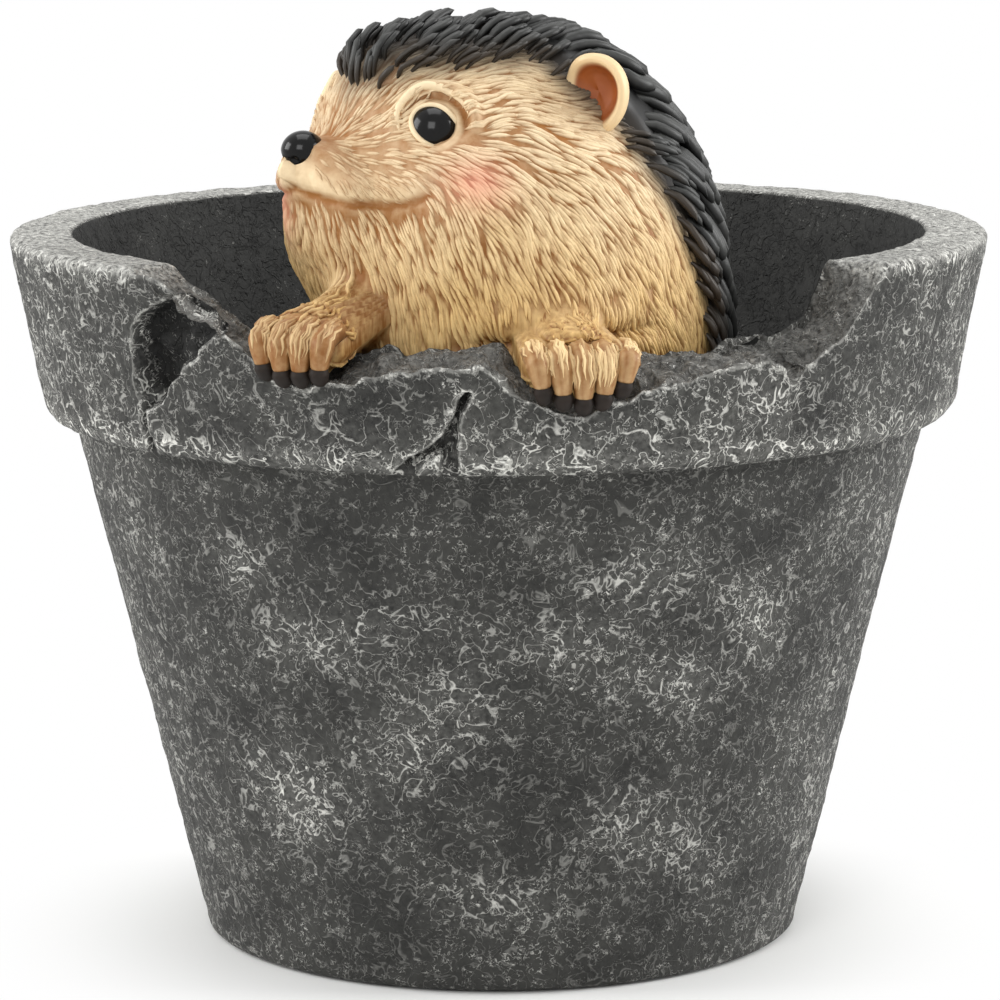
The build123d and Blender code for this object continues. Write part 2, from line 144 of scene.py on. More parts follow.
# %% Sizes of the pot
POT_HEIGHT, RIM_RADIUS, RIM_INNER_RADIUS = 145.0, 100.0, 86.5
COLLAR_Z, COLLAR_FOOT_RADIUS, WALL_TOP_RADIUS = 107.7, 92.8, 87.4
BASE_RADIUS, FOOT_RADIUS, FOOT_Z = 61.0, 49.0, 3.0
FLOOR_Z, FLOOR_RADIUS, DRAIN_RADIUS = 13.0, 53.0, 6.0
BREAK_INNER = [(-61, 0), (-60, 0.6), (-57.7, 4.6), (-52.8, 6), (-49.7, 8.8), (-46.8, 13.4), (-36, 14.5), (-18, 15.3),
               (-3, 13.4), (12, 15), (29, 15.2), (45.4, 14), (51, 13), (55, 12.3), (58.6, 10), (60.3, 2), (61.3, 0)]
BREAK_OUTER = [(-66, 0), (-63.6, 0.8), (-59, 4), (-50.6, 11), (-46, 16), (-43, 19.5), (-37, 22), (-25, 17), (-12, 14.5),
               (-3, 14.4), (6, 21), (17, 25), (27, 20.8), (35.5, 18.6), (42.2, 17.7), (46.2, 15.8), (51.5, 16),
               (57, 21.6), (59, 17.2), (65.9, 12.4), (68.3, 8.4), (71.1, 2.7), (72.3, 0.6), (73.3, 0)]
POT_COLUMNS = 740


def edge_height(turn, outline, radius):
    """Height of a broken edge at an angle: straight lines between the outline's points, plus a jagged grain."""
    x, drop = np.array(outline, float).T
    drop_here = np.interp(turn, np.arcsin(x / radius), drop, left=0, right=0)
    spot = np.stack([turn * radius, np.full_like(turn, radius), np.zeros_like(turn)], -1)
    grain = rough(spot, 7.0, 3, int(radius)) * 1.3 + rough(spot, 2.4, 2, int(radius) + 9) * 0.5
    return POT_HEIGHT - np.clip(drop_here + grain * step(0.5, 6, drop_here), 0, 40)


def inner_radius(z):
    """Radius of the inner wall: a straight taper from the floor to the rim."""
    return FLOOR_RADIUS + (z - FLOOR_Z) / (POT_HEIGHT - FLOOR_Z) * (RIM_INNER_RADIUS - FLOOR_RADIUS)


def collar_radius(z):
    """Radius of the collar's face: a straight taper from its foot to the rim."""
    return COLLAR_FOOT_RADIUS + (z - COLLAR_Z) / (POT_HEIGHT - COLLAR_Z) * (RIM_RADIUS - COLLAR_FOOT_RADIUS)


even = np.arange(POT_COLUMNS) / POT_COLUMNS * 2 * np.pi - np.pi
turn = even - 0.36 * np.sin(even)
outer_edge = edge_height(turn, BREAK_OUTER, 97.0)
inner_edge = edge_height(turn, BREAK_INNER, 84.0)
broken = np.maximum(step(1, 6, POT_HEIGHT - outer_edge), step(1, 6, POT_HEIGHT - inner_edge))
print("deepest break", round(float(POT_HEIGHT - outer_edge.min()), 1), "mm")

# %% Section of the pot


def run(start, end, count, ends=False):
    """Rows of (radius, height) on a straight line from start to end, at every angle."""
    t = np.linspace(0, 1, count, endpoint=ends)[:, None]
    r0, z0, r1, z1 = (np.broadcast_to(v, turn.shape) for v in (*start, *end))
    return r0 + t * (r1 - r0), z0 + t * (z1 - z0)


def bend(corner, before, after, count):
    """Rows round a corner: a quadratic curve from the point before it to the point after it."""
    t = np.linspace(0, 1, count, endpoint=False)[:, None]
    parts = []
    for axis in (0, 1):
        p0, p1, p2 = (np.broadcast_to(p[axis], turn.shape) for p in (before, corner, after))
        parts.append((1 - t) ** 2 * p0 + 2 * t * (1 - t) * p1 + t**2 * p2)
    return parts[0], parts[1]


def stack(*runs):
    """Radii and heights of all the rows, one below the other."""
    return np.concatenate([r for r, _ in runs]), np.concatenate([z for _, z in runs])


rim_round = 3.0 - 2.2 * broken
hip_round = 1.3 - 0.5 * broken
collar_lip = (collar_radius(COLLAR_Z + 4), COLLAR_Z + 4)
lip_before = (collar_radius(outer_edge - rim_round), outer_edge - rim_round)
lip_corner = (collar_radius(outer_edge), outer_edge)
top_slope = (inner_edge - outer_edge) / 13.0
lip_after = (collar_radius(outer_edge) - rim_round, outer_edge + top_slope * rim_round)
hip_before = (inner_radius(inner_edge) + hip_round, inner_edge - top_slope * hip_round)
hip_corner = (inner_radius(inner_edge), inner_edge)
hip_after = (inner_radius(inner_edge - hip_round), inner_edge - hip_round)
SEAM_Z = 112.0
wall_rows = stack(
    run((DRAIN_RADIUS, FOOT_Z), (FOOT_RADIUS, FOOT_Z), 6),
    run((FOOT_RADIUS, FOOT_Z), (FOOT_RADIUS, 0), 2),
    run((FOOT_RADIUS, 0), (BASE_RADIUS - 2.5, 0), 4),
    bend((BASE_RADIUS, 0), (BASE_RADIUS - 2.5, 0), (BASE_RADIUS + 0.6, 2.5), 5),
    run((BASE_RADIUS + 0.6, 2.5), (WALL_TOP_RADIUS - 0.5, COLLAR_Z - 2), 110),
    bend((WALL_TOP_RADIUS, COLLAR_Z), (WALL_TOP_RADIUS - 0.5, COLLAR_Z - 2), (WALL_TOP_RADIUS + 2, COLLAR_Z), 4),
    run((WALL_TOP_RADIUS + 2, COLLAR_Z), (COLLAR_FOOT_RADIUS - 3, COLLAR_Z), 2, True),
)
rim_rows = stack(
    bend((COLLAR_FOOT_RADIUS, COLLAR_Z), (COLLAR_FOOT_RADIUS - 3, COLLAR_Z), collar_lip, 7),
    run(collar_lip, lip_before, 44),
    bend(lip_corner, lip_before, lip_after, 6),
    run(lip_after, hip_before, 20),
    bend(hip_corner, hip_before, hip_after, 6),
    run(hip_after, (inner_radius(SEAM_Z), SEAM_Z), 22, True),
)
inside_rows = stack(
    run((inner_radius(SEAM_Z), SEAM_Z), (inner_radius(FLOOR_Z + 5), FLOOR_Z + 5), 50),
    bend((FLOOR_RADIUS, FLOOR_Z), (inner_radius(FLOOR_Z + 5), FLOOR_Z + 5), (FLOOR_RADIUS - 4, FLOOR_Z), 6),
    run((FLOOR_RADIUS - 4, FLOOR_Z), (DRAIN_RADIUS, FLOOR_Z), 14),
    run((DRAIN_RADIUS, FLOOR_Z), (DRAIN_RADIUS, FOOT_Z), 4, True),
)
print("rows:", len(wall_rows[0]), len(rim_rows[0]), len(inside_rows[0]))


# %% [markdown]
# The stone's relief is carved into the mesh: broad hollows, a net of thin crests, a rough fracture on the broken rim,
# a spalled flake at the left of the break and a crack under the middle. A number on each point says how much of the
# pale dry-brushed paint sits there, which is most on crests and edges; on the pot's left and right flanks it also
# carries painted light. Another number carries painted shade on the inner wall, in the flake and the crack, and on
# the fractured top.

# %% Stone relief
FLAKE = np.array([(-64.8, 141.5), (-75.8, 136.2), (-79.1, 133.3), (-78.6, 123), (-76.7, 116.6), (-72.5, 119.1),
                  (-53.7, 134.8)], float)
CRACK = np.array([(-6, 123.7), (-7.5, 120.6), (-8.8, 117.5), (-9.6, 113), (-9.0, 106)], float)
FLAKE_CRACK = np.array([(-77.0, 119), (-76.4, 113), (-74.5, 106)], float)
CRACK_ARM = np.array([(-9.4, 115.2), (-12.8, 112.7), (-15.8, 110.7), (-18.0, 108)], float)
BRUSHED = [(-39, 72, 12, 7), (28, 84, 13, 7), (37, 64, 13, 6), (-38, 36, 12, 8), (-8, 62, 9, 13), (-18, 49, 9, 9),
           (-50, 43, 10, 8), (-3, 20, 13, 6), (-22, 78, 10, 5), (12, 74, 10, 6), (43, 25, 11, 7), (25, 36, 11, 8),
           (53, 75, 9, 8), (-55, 87, 9, 6), (-30, 113, 12, 5), (4, 113, 14, 5), (34, 114, 14, 5), (56, 120, 9, 7)]


def flake_inside(along, z):
    """Distance inside the edge of the spalled flake on the unrolled wall, negative outside it."""
    inside = np.full(along.shape, 1e3)
    centre = FLAKE.mean(0)
    for a, b in zip(FLAKE, np.roll(FLAKE, -1, 0)):
        out = unit(np.array([b[1] - a[1], a[0] - b[0]]))
        out = out if (a - centre) @ out > 0 else -out
        inside = np.minimum(inside, -((along - a[0]) * out[0] + (z - a[1]) * out[1]))
    return inside


def line_distance(along, z, line):
    """Distance from points on the unrolled wall to a broken line."""
    best = np.full(along.shape, 1e3)
    for a, b in zip(line[:-1], line[1:]):
        t = np.clip(((along - a[0]) * (b - a)[0] + (z - a[1]) * (b - a)[1]) / ((b - a) @ (b - a)), 0, 1)
        best = np.minimum(best, np.hypot(along - a[0] - t * (b - a)[0], z - a[1] - t * (b - a)[1]))
    return best


def pot_piece(name, rows, carve, inner, top_start=None, top_end=None):
    """Carries the section round the axis, then moves each point along its normal by the stone's relief."""
    radius, z = rows
    points = np.stack([radius * np.sin(turn), -radius * np.cos(turn), z], -1)
    normal = grid_normals(points, True)
    along = turn * radius
    crest = veins(points, 11, 3) * 0.6 + veins(points, 6, 5) * 0.5 + veins(points, 3.6, 8) * 0.35
    relief = carve * (0.22 * crest + 0.16 * rough(points, 26, 2, 21) + 0.16 * rough(points, 4, 2, 31) - 0.5)
    brush = np.zeros(radius.shape)
    for x, height, wide, tall in BRUSHED:
        brush += np.exp(-((along - x) / wide) ** 2 - ((z - height) / tall) ** 2)
    # Painted light: the pot's left and right flanks, seen from the front, get extra pale paint.
    brush = brush + 0.7 * step(0.7, 1.25, np.abs(turn)) * step(2.6, 1.7, np.abs(turn))
    brush = np.where(inner, -1.3, brush)
    edge, worn, fracture = (np.zeros(radius.shape) for _ in range(3))
    # Painted shade: the inner wall is darkened halfway towards near-black.
    hollow = np.zeros(radius.shape) + 0.5 * inner
    chip = np.where(inner, 5.0, -5.0) + np.zeros(radius.shape)
    if top_start is not None:
        row = np.arange(len(radius))[:, None]
        top = step(top_start - 2, top_start + 2, row) * step(top_end + 3, top_end - 2, row)
        worn = top * (1 - 0.75 * broken)
        fracture = top * broken
        facets = np.round(rough(points, 9, 2, 51) * 2.2) / 2.2 * 1.6 + rough(points, 4.5, 3, 57) * 1.3
        relief = relief + fracture * (facets - 1.0)
        outside = step(top_start + 1, top_start - 1, row)
        ragged = rough(points, 5, 3, 63)
        inside = flake_inside(along, z) + 1.1 * ragged
        deep = np.interp(along, [-79, -54], [5.0, 3.6]) * step(0, 0.8, inside) * (1 + 0.35 * ragged)
        crack = np.minimum(line_distance(along, z, CRACK), line_distance(along, z, CRACK_ARM) + 0.2)
        crack = np.minimum(crack, line_distance(along, z, FLAKE_CRACK) + 0.6) + 0.5 * ragged
        wide = np.interp(z, [108, 114, 124], [2.0, 1.5, 0.8])
        deep = deep + 3.6 * step(wide, wide * 0.45, crack)
        relief = relief - outside * step(1, 4, row) * deep
        brush = np.where(inside * outside > 0.6, -0.8, brush + 0.3 * outside)
        # Painted shade: the collar is darkened where the flake and the crack cut into it, and the fractured top is
        # darkened more on its right.
        hollow = hollow + np.maximum(0.85 * outside, fracture * (0.25 + 0.45 * step(0.1, 0.6, turn)))
        length = np.cumsum(np.hypot(np.gradient(radius, axis=0), np.gradient(z, axis=0)), axis=0)
        lip = 0.5 * (length - length[top_start + 1]) - 8 * step(0.6, 0.2, broken)
        chip = np.where(inner, 5.0, np.maximum(lip, np.where(outside > 0.5, np.maximum(inside, wide - crack), -5)))
        chip = np.clip(chip, -5, 5)
        edge = np.exp(-(((row - top_start) / 2.0) ** 2)) + 0.7 * np.exp(-(((row - top_end) / 2.0) ** 2))
        edge = edge + 0.9 * np.exp(-(((row - 5) / 3.0) ** 2)) + 0.5 * outside * np.exp(-((inside / 0.8) ** 2))
        edge = edge + 0.7 * outside * np.exp(-(((crack - wide - 0.5) / 0.8) ** 2))
    points = points + normal * relief[..., None]
    points[..., 2] = np.clip(points[..., 2], 0, POT_HEIGHT)
    return put_mesh(name, points, grid_faces(*radius.shape, True), crest=crest, brush=brush,
                    edge=edge, worn=worn, fracture=fracture, hollow=hollow, chip=chip)


FIRST_TOP_ROW, LAST_TOP_ROW = 53, 79
wall_row, rim_row, inside_row = (np.arange(len(rows[0]))[:, None] for rows in (wall_rows, rim_rows, inside_rows))
pot_wall = pot_piece("pot_wall", wall_rows, step(0.3, 3, wall_rows[1]) * step(30, 58, wall_rows[0]), wall_row < 0)
pot_rim = pot_piece("pot_rim", rim_rows, step(0, 4, rim_row) * step(len(rim_row) - 1, len(rim_row) - 6, rim_row),
                    rim_row > LAST_TOP_ROW + 2, FIRST_TOP_ROW, LAST_TOP_ROW)
pot_inside = pot_piece("pot_inside", inside_rows, 0.35 * step(0, 4, inside_row) * step(10, 30, inside_rows[0]),
                       inside_row >= 0)
for piece in (pot_wall, pot_rim, pot_inside):
    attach(piece, "planter")
    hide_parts("pot")

# %% [markdown]
# ## The hedgehog's body
# On the real planter the animal is modelled in clay, moulded and cast with the pot. Its body is a blend of two round
# forms: an upright egg for the torso and a pear lying on its side for the head. A distance function says how far a
# point is outside that blend, so the folds of the face are simply added to the distance. The skin is a grid of
# directions from a point inside, each followed outward to where the distance is zero.

# %% Distance to the figure
SEAT_Z = 130.0
TORSO, TORSO_SIZE = np.array([4.0, -47.4, SEAT_Z]), np.array([38.0, 36.0, 56.0])
HEAD, HEAD_TURN = np.array([-12.0, -49.4, 159.0]), np.radians(56)
FORWARD = np.array([-np.sin(HEAD_TURN), -np.cos(HEAD_TURN), 0.0])
LEFT = np.array([np.cos(HEAD_TURN), -np.sin(HEAD_TURN), 0.0])
UP = np.array([0.0, 0.0, 1.0])
SKULL = np.array([(-31, 0.5, 1, -1, 0), (-28, 11, 10, -10, 0), (-20, 24, 22, -22, 0), (-8, 31, 27.5, -28, 0.08),
                  (4, 32, 28, -30, 0.22), (13, 29.5, 26.5, -28.5, 0.38), (18, 25, 20.5, -25, 0.38),
                  (21, 20.5, 15, -22, 0.34), (24, 15.5, 11.2, -18.5, 0.28), (28, 12, 10.5, -12, 0.15), (30.5, 7, 10, -4, 0),
                  (33, 0.5, 6, 2, 0)])
EYE, EYE_RADIUS, EYE_AIM_OUT, EYE_AIM_UP = (11.2, 16.6, 11.6), 5.3, np.radians(55), np.radians(22)
NOSE, NOSE_SIZE = HEAD + 30.2 * FORWARD + 7.6 * UP, (4.3, 4.1, 3.9)
EARS = [HEAD - 17 * FORWARD + side * 29 * LEFT + 18.5 * UP for side in (1, -1)]
NECK_BLEND, ARM_BLEND = 7.0, 5.0
PAWS = {"left": (9.2, 5, -2.0), "right": (-23.3, 4, 1.5)}
# Share of cream on each paw: the paw on the +x side gets more and the other less, which is painted light and shade;
# both paws have the same paint.
PAW_CREAM_AND_LIGHT = {"left": 1.5, "right": 0.7}
FINGER_PITCH, OUTER = 4.2, collar_radius(SEAT_Z)
SHOULDERS = {"left": (10.0, -66.0, 133.0), "right": (-22.0, -64.0, 137.5)}


def paw_place(angle, rise, radius, offset, z):
    """A point at a paw from its distance from the axis, its offset along the rim and its height above the seat."""
    turned = np.radians(angle)
    outward, along = np.array([np.sin(turned), -np.cos(turned), 0]), np.array([np.cos(turned), np.sin(turned), 0])
    radius, offset, z = (np.asarray(v, float)[..., None] for v in (radius, offset, z))
    return outward * radius + along * offset + UP * (SEAT_Z + rise + z)


def bars():
    """The arms and hands as straight bars: both ends and the radius at each."""
    made = []
    for name, (angle, count, rise) in PAWS.items():
        half = (count - 1) / 2 * FINGER_PITCH * 0.8
        ends = [paw_place(angle, rise, OUTER - 7.0, side * half, 0.8) for side in (-1, 1)]
        wrist = paw_place(angle, rise, OUTER - 9.0, 0.0, 1.2)
        made += [(np.array(SHOULDERS[name]), wrist, 7.5, 5.4), (ends[0], ends[1], 4.2, 4.2)]
    return made


BARS = bars()
EAR_AIM = np.radians(35)
EAR_ROOTS = [(HEAD - 15 * FORWARD + side * 17 * LEFT + 12 * UP,
              ear - 4 * (np.cos(EAR_AIM) * FORWARD + side * np.sin(EAR_AIM) * LEFT) - 3 * side * LEFT - UP, 7.0, 4.0)
             for side, ear in zip((1, -1), EARS)]


def head_place(p):
    """How far points lie ahead of, left of and above the middle of the head."""
    return (p - HEAD) @ FORWARD, (p - HEAD) @ LEFT, p[..., 2] - HEAD[2]


def eye_frame(side):
    """Middle of an eye, the way it looks, and the upward and backward ways across it."""
    centre = HEAD + EYE[0] * FORWARD + side * EYE[1] * LEFT + EYE[2] * UP
    aim = unit(np.cos(EYE_AIM_OUT) * FORWARD + side * np.sin(EYE_AIM_OUT) * LEFT + np.sin(EYE_AIM_UP) * UP)
    upward = unit(UP - (UP @ aim) * aim)
    return centre, aim, upward, side * np.cross(upward, aim)


def eye_place(p, side):
    """Distance from an eye's axis, the upward share of the way there, and the depth along the axis."""
    centre, aim, upward, _ = eye_frame(side)
    depth = (p - centre) @ aim
    flat = p - centre - depth[..., None] * aim
    away = np.linalg.norm(flat, axis=-1)
    return away, flat @ upward / (away + 1e-6), depth


def mouth_height(b):
    """Height of the mouth's line at a distance from the middle: a shallow curve whose corners turn up."""
    out = np.abs(b) - 17
    return -1.8 + np.where(out < 0, 0.009, 0.04) * out**2


def carving(p):
    """Height of the face's modelling above the smooth blend: eye sockets and brows, muzzle, mouth and jowl."""
    a, b, h = head_place(p)
    total = np.zeros(a.shape)
    for side in (1, -1):
        away, upward, depth = eye_place(p, side)
        fold = -1.6 * step(4.4, 3.8, away) - 1.0 * np.exp(-(((away - 6.0) / 0.6) ** 2)) * step(-0.6, 0.1, upward)
        fold += 2.2 * np.exp(-(((away - 8.1) / 1.1) ** 2)) * step(-0.35, 0.3, upward)
        fold += 0.3 * np.exp(-(((away - 7.0) / 1.4) ** 2)) * step(0.1, -0.5, upward)
        total += fold * step(0, 3, depth)
    total -= 1.5 * np.exp(-(((a - 25) / 4) ** 2) - ((h - 13) / 4) ** 2 - ((b - 1) / 12) ** 2)
    total -= 2.2 * sum(np.exp(-((np.linalg.norm(p - ear - 5 * FORWARD, axis=-1) / 8) ** 2)) for ear in EARS)
    lip = h - mouth_height(b)
    front = step(12, 17, a) * step(25.5, 22, np.abs(b))
    total += front * (1.5 * np.exp(-(((lip - 3.2) / 2.4) ** 2)) - 1.5 * np.exp(-((lip / 0.8) ** 2))
                      - 0.8 * np.exp(-(((lip + 3.2) / 2.6) ** 2)))
    total -= 0.8 * np.exp(-(((b - 4.5) / 0.9) ** 2)) * step(-2.5, -0.5, h) * step(5.5, 3.5, h) * step(26, 29, a)
    rise = p[..., 2] - SEAT_Z - 0.06 * p[..., 0]
    jowl = step(-12, 0, p[..., 0]) * step(34, 22, p[..., 0]) * step(-66, -74, p[..., 1])
    return total + jowl * (0.9 * np.exp(-(((rise - 6) / 3.2) ** 2)) - 1.6 * np.exp(-(((rise - 1.6) / 1.1) ** 2)))


def blended(one, other, width):
    """The smaller of two distances, rounded off where they are within a width of each other."""
    mix = np.clip(0.5 + 0.5 * (one - other) / width, 0, 1)
    return one * (1 - mix) + other * mix - width * mix * (1 - mix)


def figure_distance(p):
    """Distance outside the torso's egg, the head's pear and the arms' bars, blended, less the face's modelling."""
    q = (p - TORSO) / TORSO_SIZE
    size = np.linalg.norm(q, axis=-1)
    torso = size * (size - 1) / np.linalg.norm(q / TORSO_SIZE, axis=-1)
    a, b, h = head_place(p)
    wide, top, low, sag = (np.interp(a, SKULL[:, 0], SKULL[:, k]) for k in (1, 2, 3, 4))
    tall = (top - low) / 2
    q = (h - (top + low) / 2) / tall
    skull = (np.hypot(b / (wide * (1 - sag * np.clip(q, -1.2, 1.2))), q) - 1) * (wide + tall) * 0.45
    skull = np.maximum(skull, np.abs(a) - 34)
    total = blended(skull, torso, NECK_BLEND)
    for start, end, first, last in BARS + EAR_ROOTS:
        t = np.clip((p - start) @ (end - start) / ((end - start) @ (end - start)), 0, 1)
        bar = np.linalg.norm(p - start - t[..., None] * (end - start), axis=-1) - first - t * (last - first)
        total = blended(total, bar, ARM_BLEND)
    return total - carving(p)


# %% Skin of the body
MIDDLE = np.array([-2.0, -47.5, 147.0])
SKIN_ROWS, SKIN_COLUMNS = 190, 440


def directions(turns, lifts):
    """Unit vectors that point at an angle round the upright axis and an angle above the level."""
    return np.stack([np.cos(lifts) * np.sin(turns), -np.cos(lifts) * np.cos(turns), np.sin(lifts)], -1)


def reach(ways):
    """Distance from the middle to the skin along each way: coarse steps outward, then halving."""
    near = np.full(ways.shape[:-1], 4.0)
    for far in np.arange(6.0, 84.0, 2.0):
        near = np.where(figure_distance(MIDDLE + far * ways) < 0, far, near)
    width = 2.0
    for _ in range(9):
        width /= 2
        near = np.where(figure_distance(MIDDLE + (near + width)[..., None] * ways) < 0, near + width, near)
    return near


def ball_faces(rows, columns):
    """Faces of a closed grid: its rings, and a fan to one point below and one above that follow the grid's points."""
    ring = np.arange(columns)
    low = np.stack([np.full(columns, rows * columns), np.roll(ring, -1), ring], 1)
    high = np.stack([np.full(columns, rows * columns + 1), ring, np.roll(ring, -1)], 1)
    high[:, 1:] += (rows - 1) * columns
    return [grid_faces(rows, columns, True), low, high]


skin_turns = np.linspace(-np.pi, np.pi, SKIN_COLUMNS, endpoint=False)
skin_lifts = np.linspace(-np.pi / 2, np.pi / 2, SKIN_ROWS + 2)[1:-1]
skin_ways = directions(*np.meshgrid(skin_turns, skin_lifts))
skin_reach = reach(skin_ways)
pole_ways = np.array([[0, 0, -1.0], [0, 0, 1.0]])
print("skin reaches from", skin_reach.min().round(1), "to", skin_reach.max().round(1), "mm")

# %% Places on the skin


def on_skin(p):
    """Points moved along their way from the middle to the skin, read between the points of the grid."""
    way = unit(p - MIDDLE)
    column = (np.arctan2(way[..., 0], -way[..., 1]) + np.pi) / (2 * np.pi) * SKIN_COLUMNS
    row = (np.arcsin(np.clip(way[..., 2], -1, 1)) + np.pi / 2) / np.pi * (SKIN_ROWS + 1) - 1
    row = np.clip(row, 0, SKIN_ROWS - 1.001)
    c0, r0 = np.floor(column).astype(int), np.floor(row).astype(int)
    u, v = column - c0, row - r0
    grid = skin_reach[:, np.arange(-1, SKIN_COLUMNS + 2) % SKIN_COLUMNS]
    low = grid[r0, c0 + 1] * (1 - u) + grid[r0, c0 + 2] * u
    high = grid[r0 + 1, c0 + 1] * (1 - u) + grid[r0 + 1, c0 + 2] * u
    return MIDDLE + way * (low * (1 - v) + high * v)[..., None]


def skin_normal(p):
    """Outward way at points: the slope of the distance, from small moves along each axis."""
    moves = np.eye(3) * 0.4
    return unit(np.stack([figure_distance(p + m) - figure_distance(p - m) for m in moves], -1))


def behind_hairline(p):
    """Distance behind the line where fur ends and quills begin: over the forehead, and down behind the ear."""
    ahead = (p - TORSO) @ np.array([-0.5, -0.866, 0])
    rise = p[..., 2] - SEAT_Z
    over = rise - 53.5 + 0.6 * np.clip(head_place(p)[0] - 12, 0, 12)
    back = np.interp(rise, [-75, 7, 30, 54], [-12, -7, 2.5, 10]) - ahead
    return np.maximum(over, back) + 0.9 * noise(p, 5, 61)


def inside_pot(p):
    """Points kept from going through the pot's wall: below the rim's break they stay inside its inner face."""
    out = np.hypot(p[..., 0], p[..., 1])
    limit = np.where(p[..., 2] < 122, inner_radius(p[..., 2]) + 3.0, 200.0)
    share = np.minimum(1, limit / np.maximum(out, 1e-6))
    return np.stack([p[..., 0] * share, p[..., 1] * share, p[..., 2]], -1)


def paint_marks(p):
    """Numbers for the painter: how far the colours deepen to golden-brown, more towards the bottom, where the cheeks
    are blushed, and how far the coat darkens towards the quills.
    """
    a, b, h = head_place(p)
    wash = step(14, -30, h) * 0.85 + 0.18 * rough(p, 14, 2, 71)
    near = np.exp(-(((a - 10) / 5.5) ** 2) - ((b - 29) / 7) ** 2 - ((h - 2.6) / 4.6) ** 2)
    far = np.exp(-(((a - 27) / 6) ** 2) - ((b + 12) / 6) ** 2 - ((h + 4) / 6) ** 2)
    return np.clip(wash, 0, 1), np.clip(near + far, 0, 1), step(-5, 3, behind_hairline(p))


def smooth_skin(p):
    """One where the clay is left smooth: round the eyes, fading in along the muzzle to its tip, and along the mouth."""
    a, b, h = head_place(p)
    lids = [step(6.0, 5.2, eye[0]) * step(-2, 2, eye[2]) for eye in (eye_place(p, s) for s in (1, -1))]
    snout = step(30, 32.5, a) * step(-4, 1, h)
    mouth = np.exp(-(((h - mouth_height(b) - 1.1) / 2.1) ** 2)) * step(12, 17, a) * step(25.5, 22, np.abs(b))
    return np.clip(lids[0] + lids[1] + snout + mouth, 0, 1)


skin_points = np.concatenate([(MIDDLE + skin_ways * skin_reach[..., None]).reshape(-1, 3),
                              MIDDLE + pole_ways * reach(pole_ways)[:, None]])
skin_points = inside_pot(skin_points)
wash, blush, shade = paint_marks(skin_points)
a, b, h = head_place(skin_points)
body_crest = 0.15 + 0.45 * smooth_skin(skin_points) + 0.22 * np.clip(carving(skin_points), -1, 1)
body_crest += 0.12 * step(10, 26, a) * step(-12, 0, h) + 0.14 * noise(skin_points, 1.6, 81)
# Cream on the hands, more on the hand on the +x side; that difference between the hands is painted light.
hands = step(66, 76, np.hypot(skin_points[:, 0], skin_points[:, 1])) * step(142, 136, skin_points[:, 2])
body_crest += np.where(skin_points[:, 0] > 0, 0.3, 0.05) * hands
body_crest -= 0.5 * np.exp(-(((h - mouth_height(b)) / 0.8) ** 2)) * step(12, 17, a) * step(25.5, 22, np.abs(b))
body_crest = np.clip(body_crest, 0, 1)
body = put_mesh("hedgehog_skin", skin_points, ball_faces(SKIN_ROWS, SKIN_COLUMNS), crest=body_crest, wash=wash,
                blush=blush, shade=shade)

# %% [markdown]
# ## Fur
# The sculptor pressed short wavy strands into the clay with a wire tool, so they stand as low ridges with grooves
# between them. Each strand here is a small grid along a path that starts at a seeded place and follows the lie of the
# coat: away from the nose, and more and more downward on the cheeks and throat.

# %% Lie of the coat


def coat_way(p, normal, seed):
    """The way hair lies at points: away from the nose and down below the eyes, waved by noise, along the skin."""
    drop = np.clip((171 - p[..., 2]) / 22, 0, 1.5)[..., None]
    level = unit(p * [1, 1, 0])
    paw = step(80, 88, np.hypot(p[..., 0], p[..., 1]))[..., None]
    way = unit(p - NOSE) - drop * UP + 2.5 * paw * level
    way = unit(way - (way * normal).sum(-1, keepdims=True) * normal)
    wave = 0.35 * noise(p, 8, seed) + 0.25 * noise(p, 2.6, seed + 1)
    return way * np.cos(wave)[..., None] + np.cross(normal, way) * np.sin(wave)[..., None]


def hair_path(start, length, count, seed):
    """Points along hairs that start on the skin: equal steps along the lie of the coat, put back on the skin each time."""
    path, normals = [on_skin(start)], [skin_normal(on_skin(start))]
    for _ in range(count - 1):
        way = coat_way(path[-1], normals[-1], seed)
        path.append(on_skin(path[-1] + way * (length / (count - 1))[:, None]))
        normals.append(skin_normal(path[-1]))
    return np.stack(path, 1), np.stack(normals, 1)


def spread_places(count):
    """Evenly spread places on the skin: a golden-ratio lattice of directions, kept in proportion to the skin's area."""
    k = np.arange(count)
    turns = (k * 0.7548776662) % 1 * 2 * np.pi - np.pi
    lifts = np.arcsin((k * 0.5698402910) % 1 * 2 - 1)
    ways = directions(turns, lifts)
    p = on_skin(MIDDLE + 50 * ways)
    spread = ((p - MIDDLE) ** 2).sum(-1) / np.clip((skin_normal(p) * ways).sum(-1), 0.25, 1)
    return p[rng.random(count) < spread / spread.max()]


def many_faces(count, rows, columns, wrap=False):
    """Faces of many equal grids, one after another."""
    one = grid_faces(rows, columns, wrap)
    return (one[None] + (np.arange(count) * rows * columns)[:, None, None]).reshape(-1, 4)


STRAND_ACROSS = np.array([-1.0, -0.36, 0.36, 1.0])
STRAND_WIDTH = np.array([0.3, 0.85, 1.0, 0.8, 0.15])
STRAND_HEIGHT = np.array([0.0, 0.8, 1.0, 0.9, 0.2])


def strands(path, normals, width, height):
    """Low ridges along paths: across each one the edges lie just under the skin and the two middle points stand up."""
    along = unit(np.gradient(path, axis=1))
    across = np.cross(along, normals)
    half = 0.5 * width[:, None] * STRAND_WIDTH
    lift = height[:, None] * STRAND_HEIGHT
    ridge = np.array([0.0, 1.0, 1.0, 0.0])
    shift = across[:, :, None] * (half[:, :, None] * STRAND_ACROSS)[..., None]
    rise = normals[:, :, None] * ((lift[:, :, None] + 0.2) * ridge - 0.2)[..., None]
    return path[:, :, None] + shift + rise


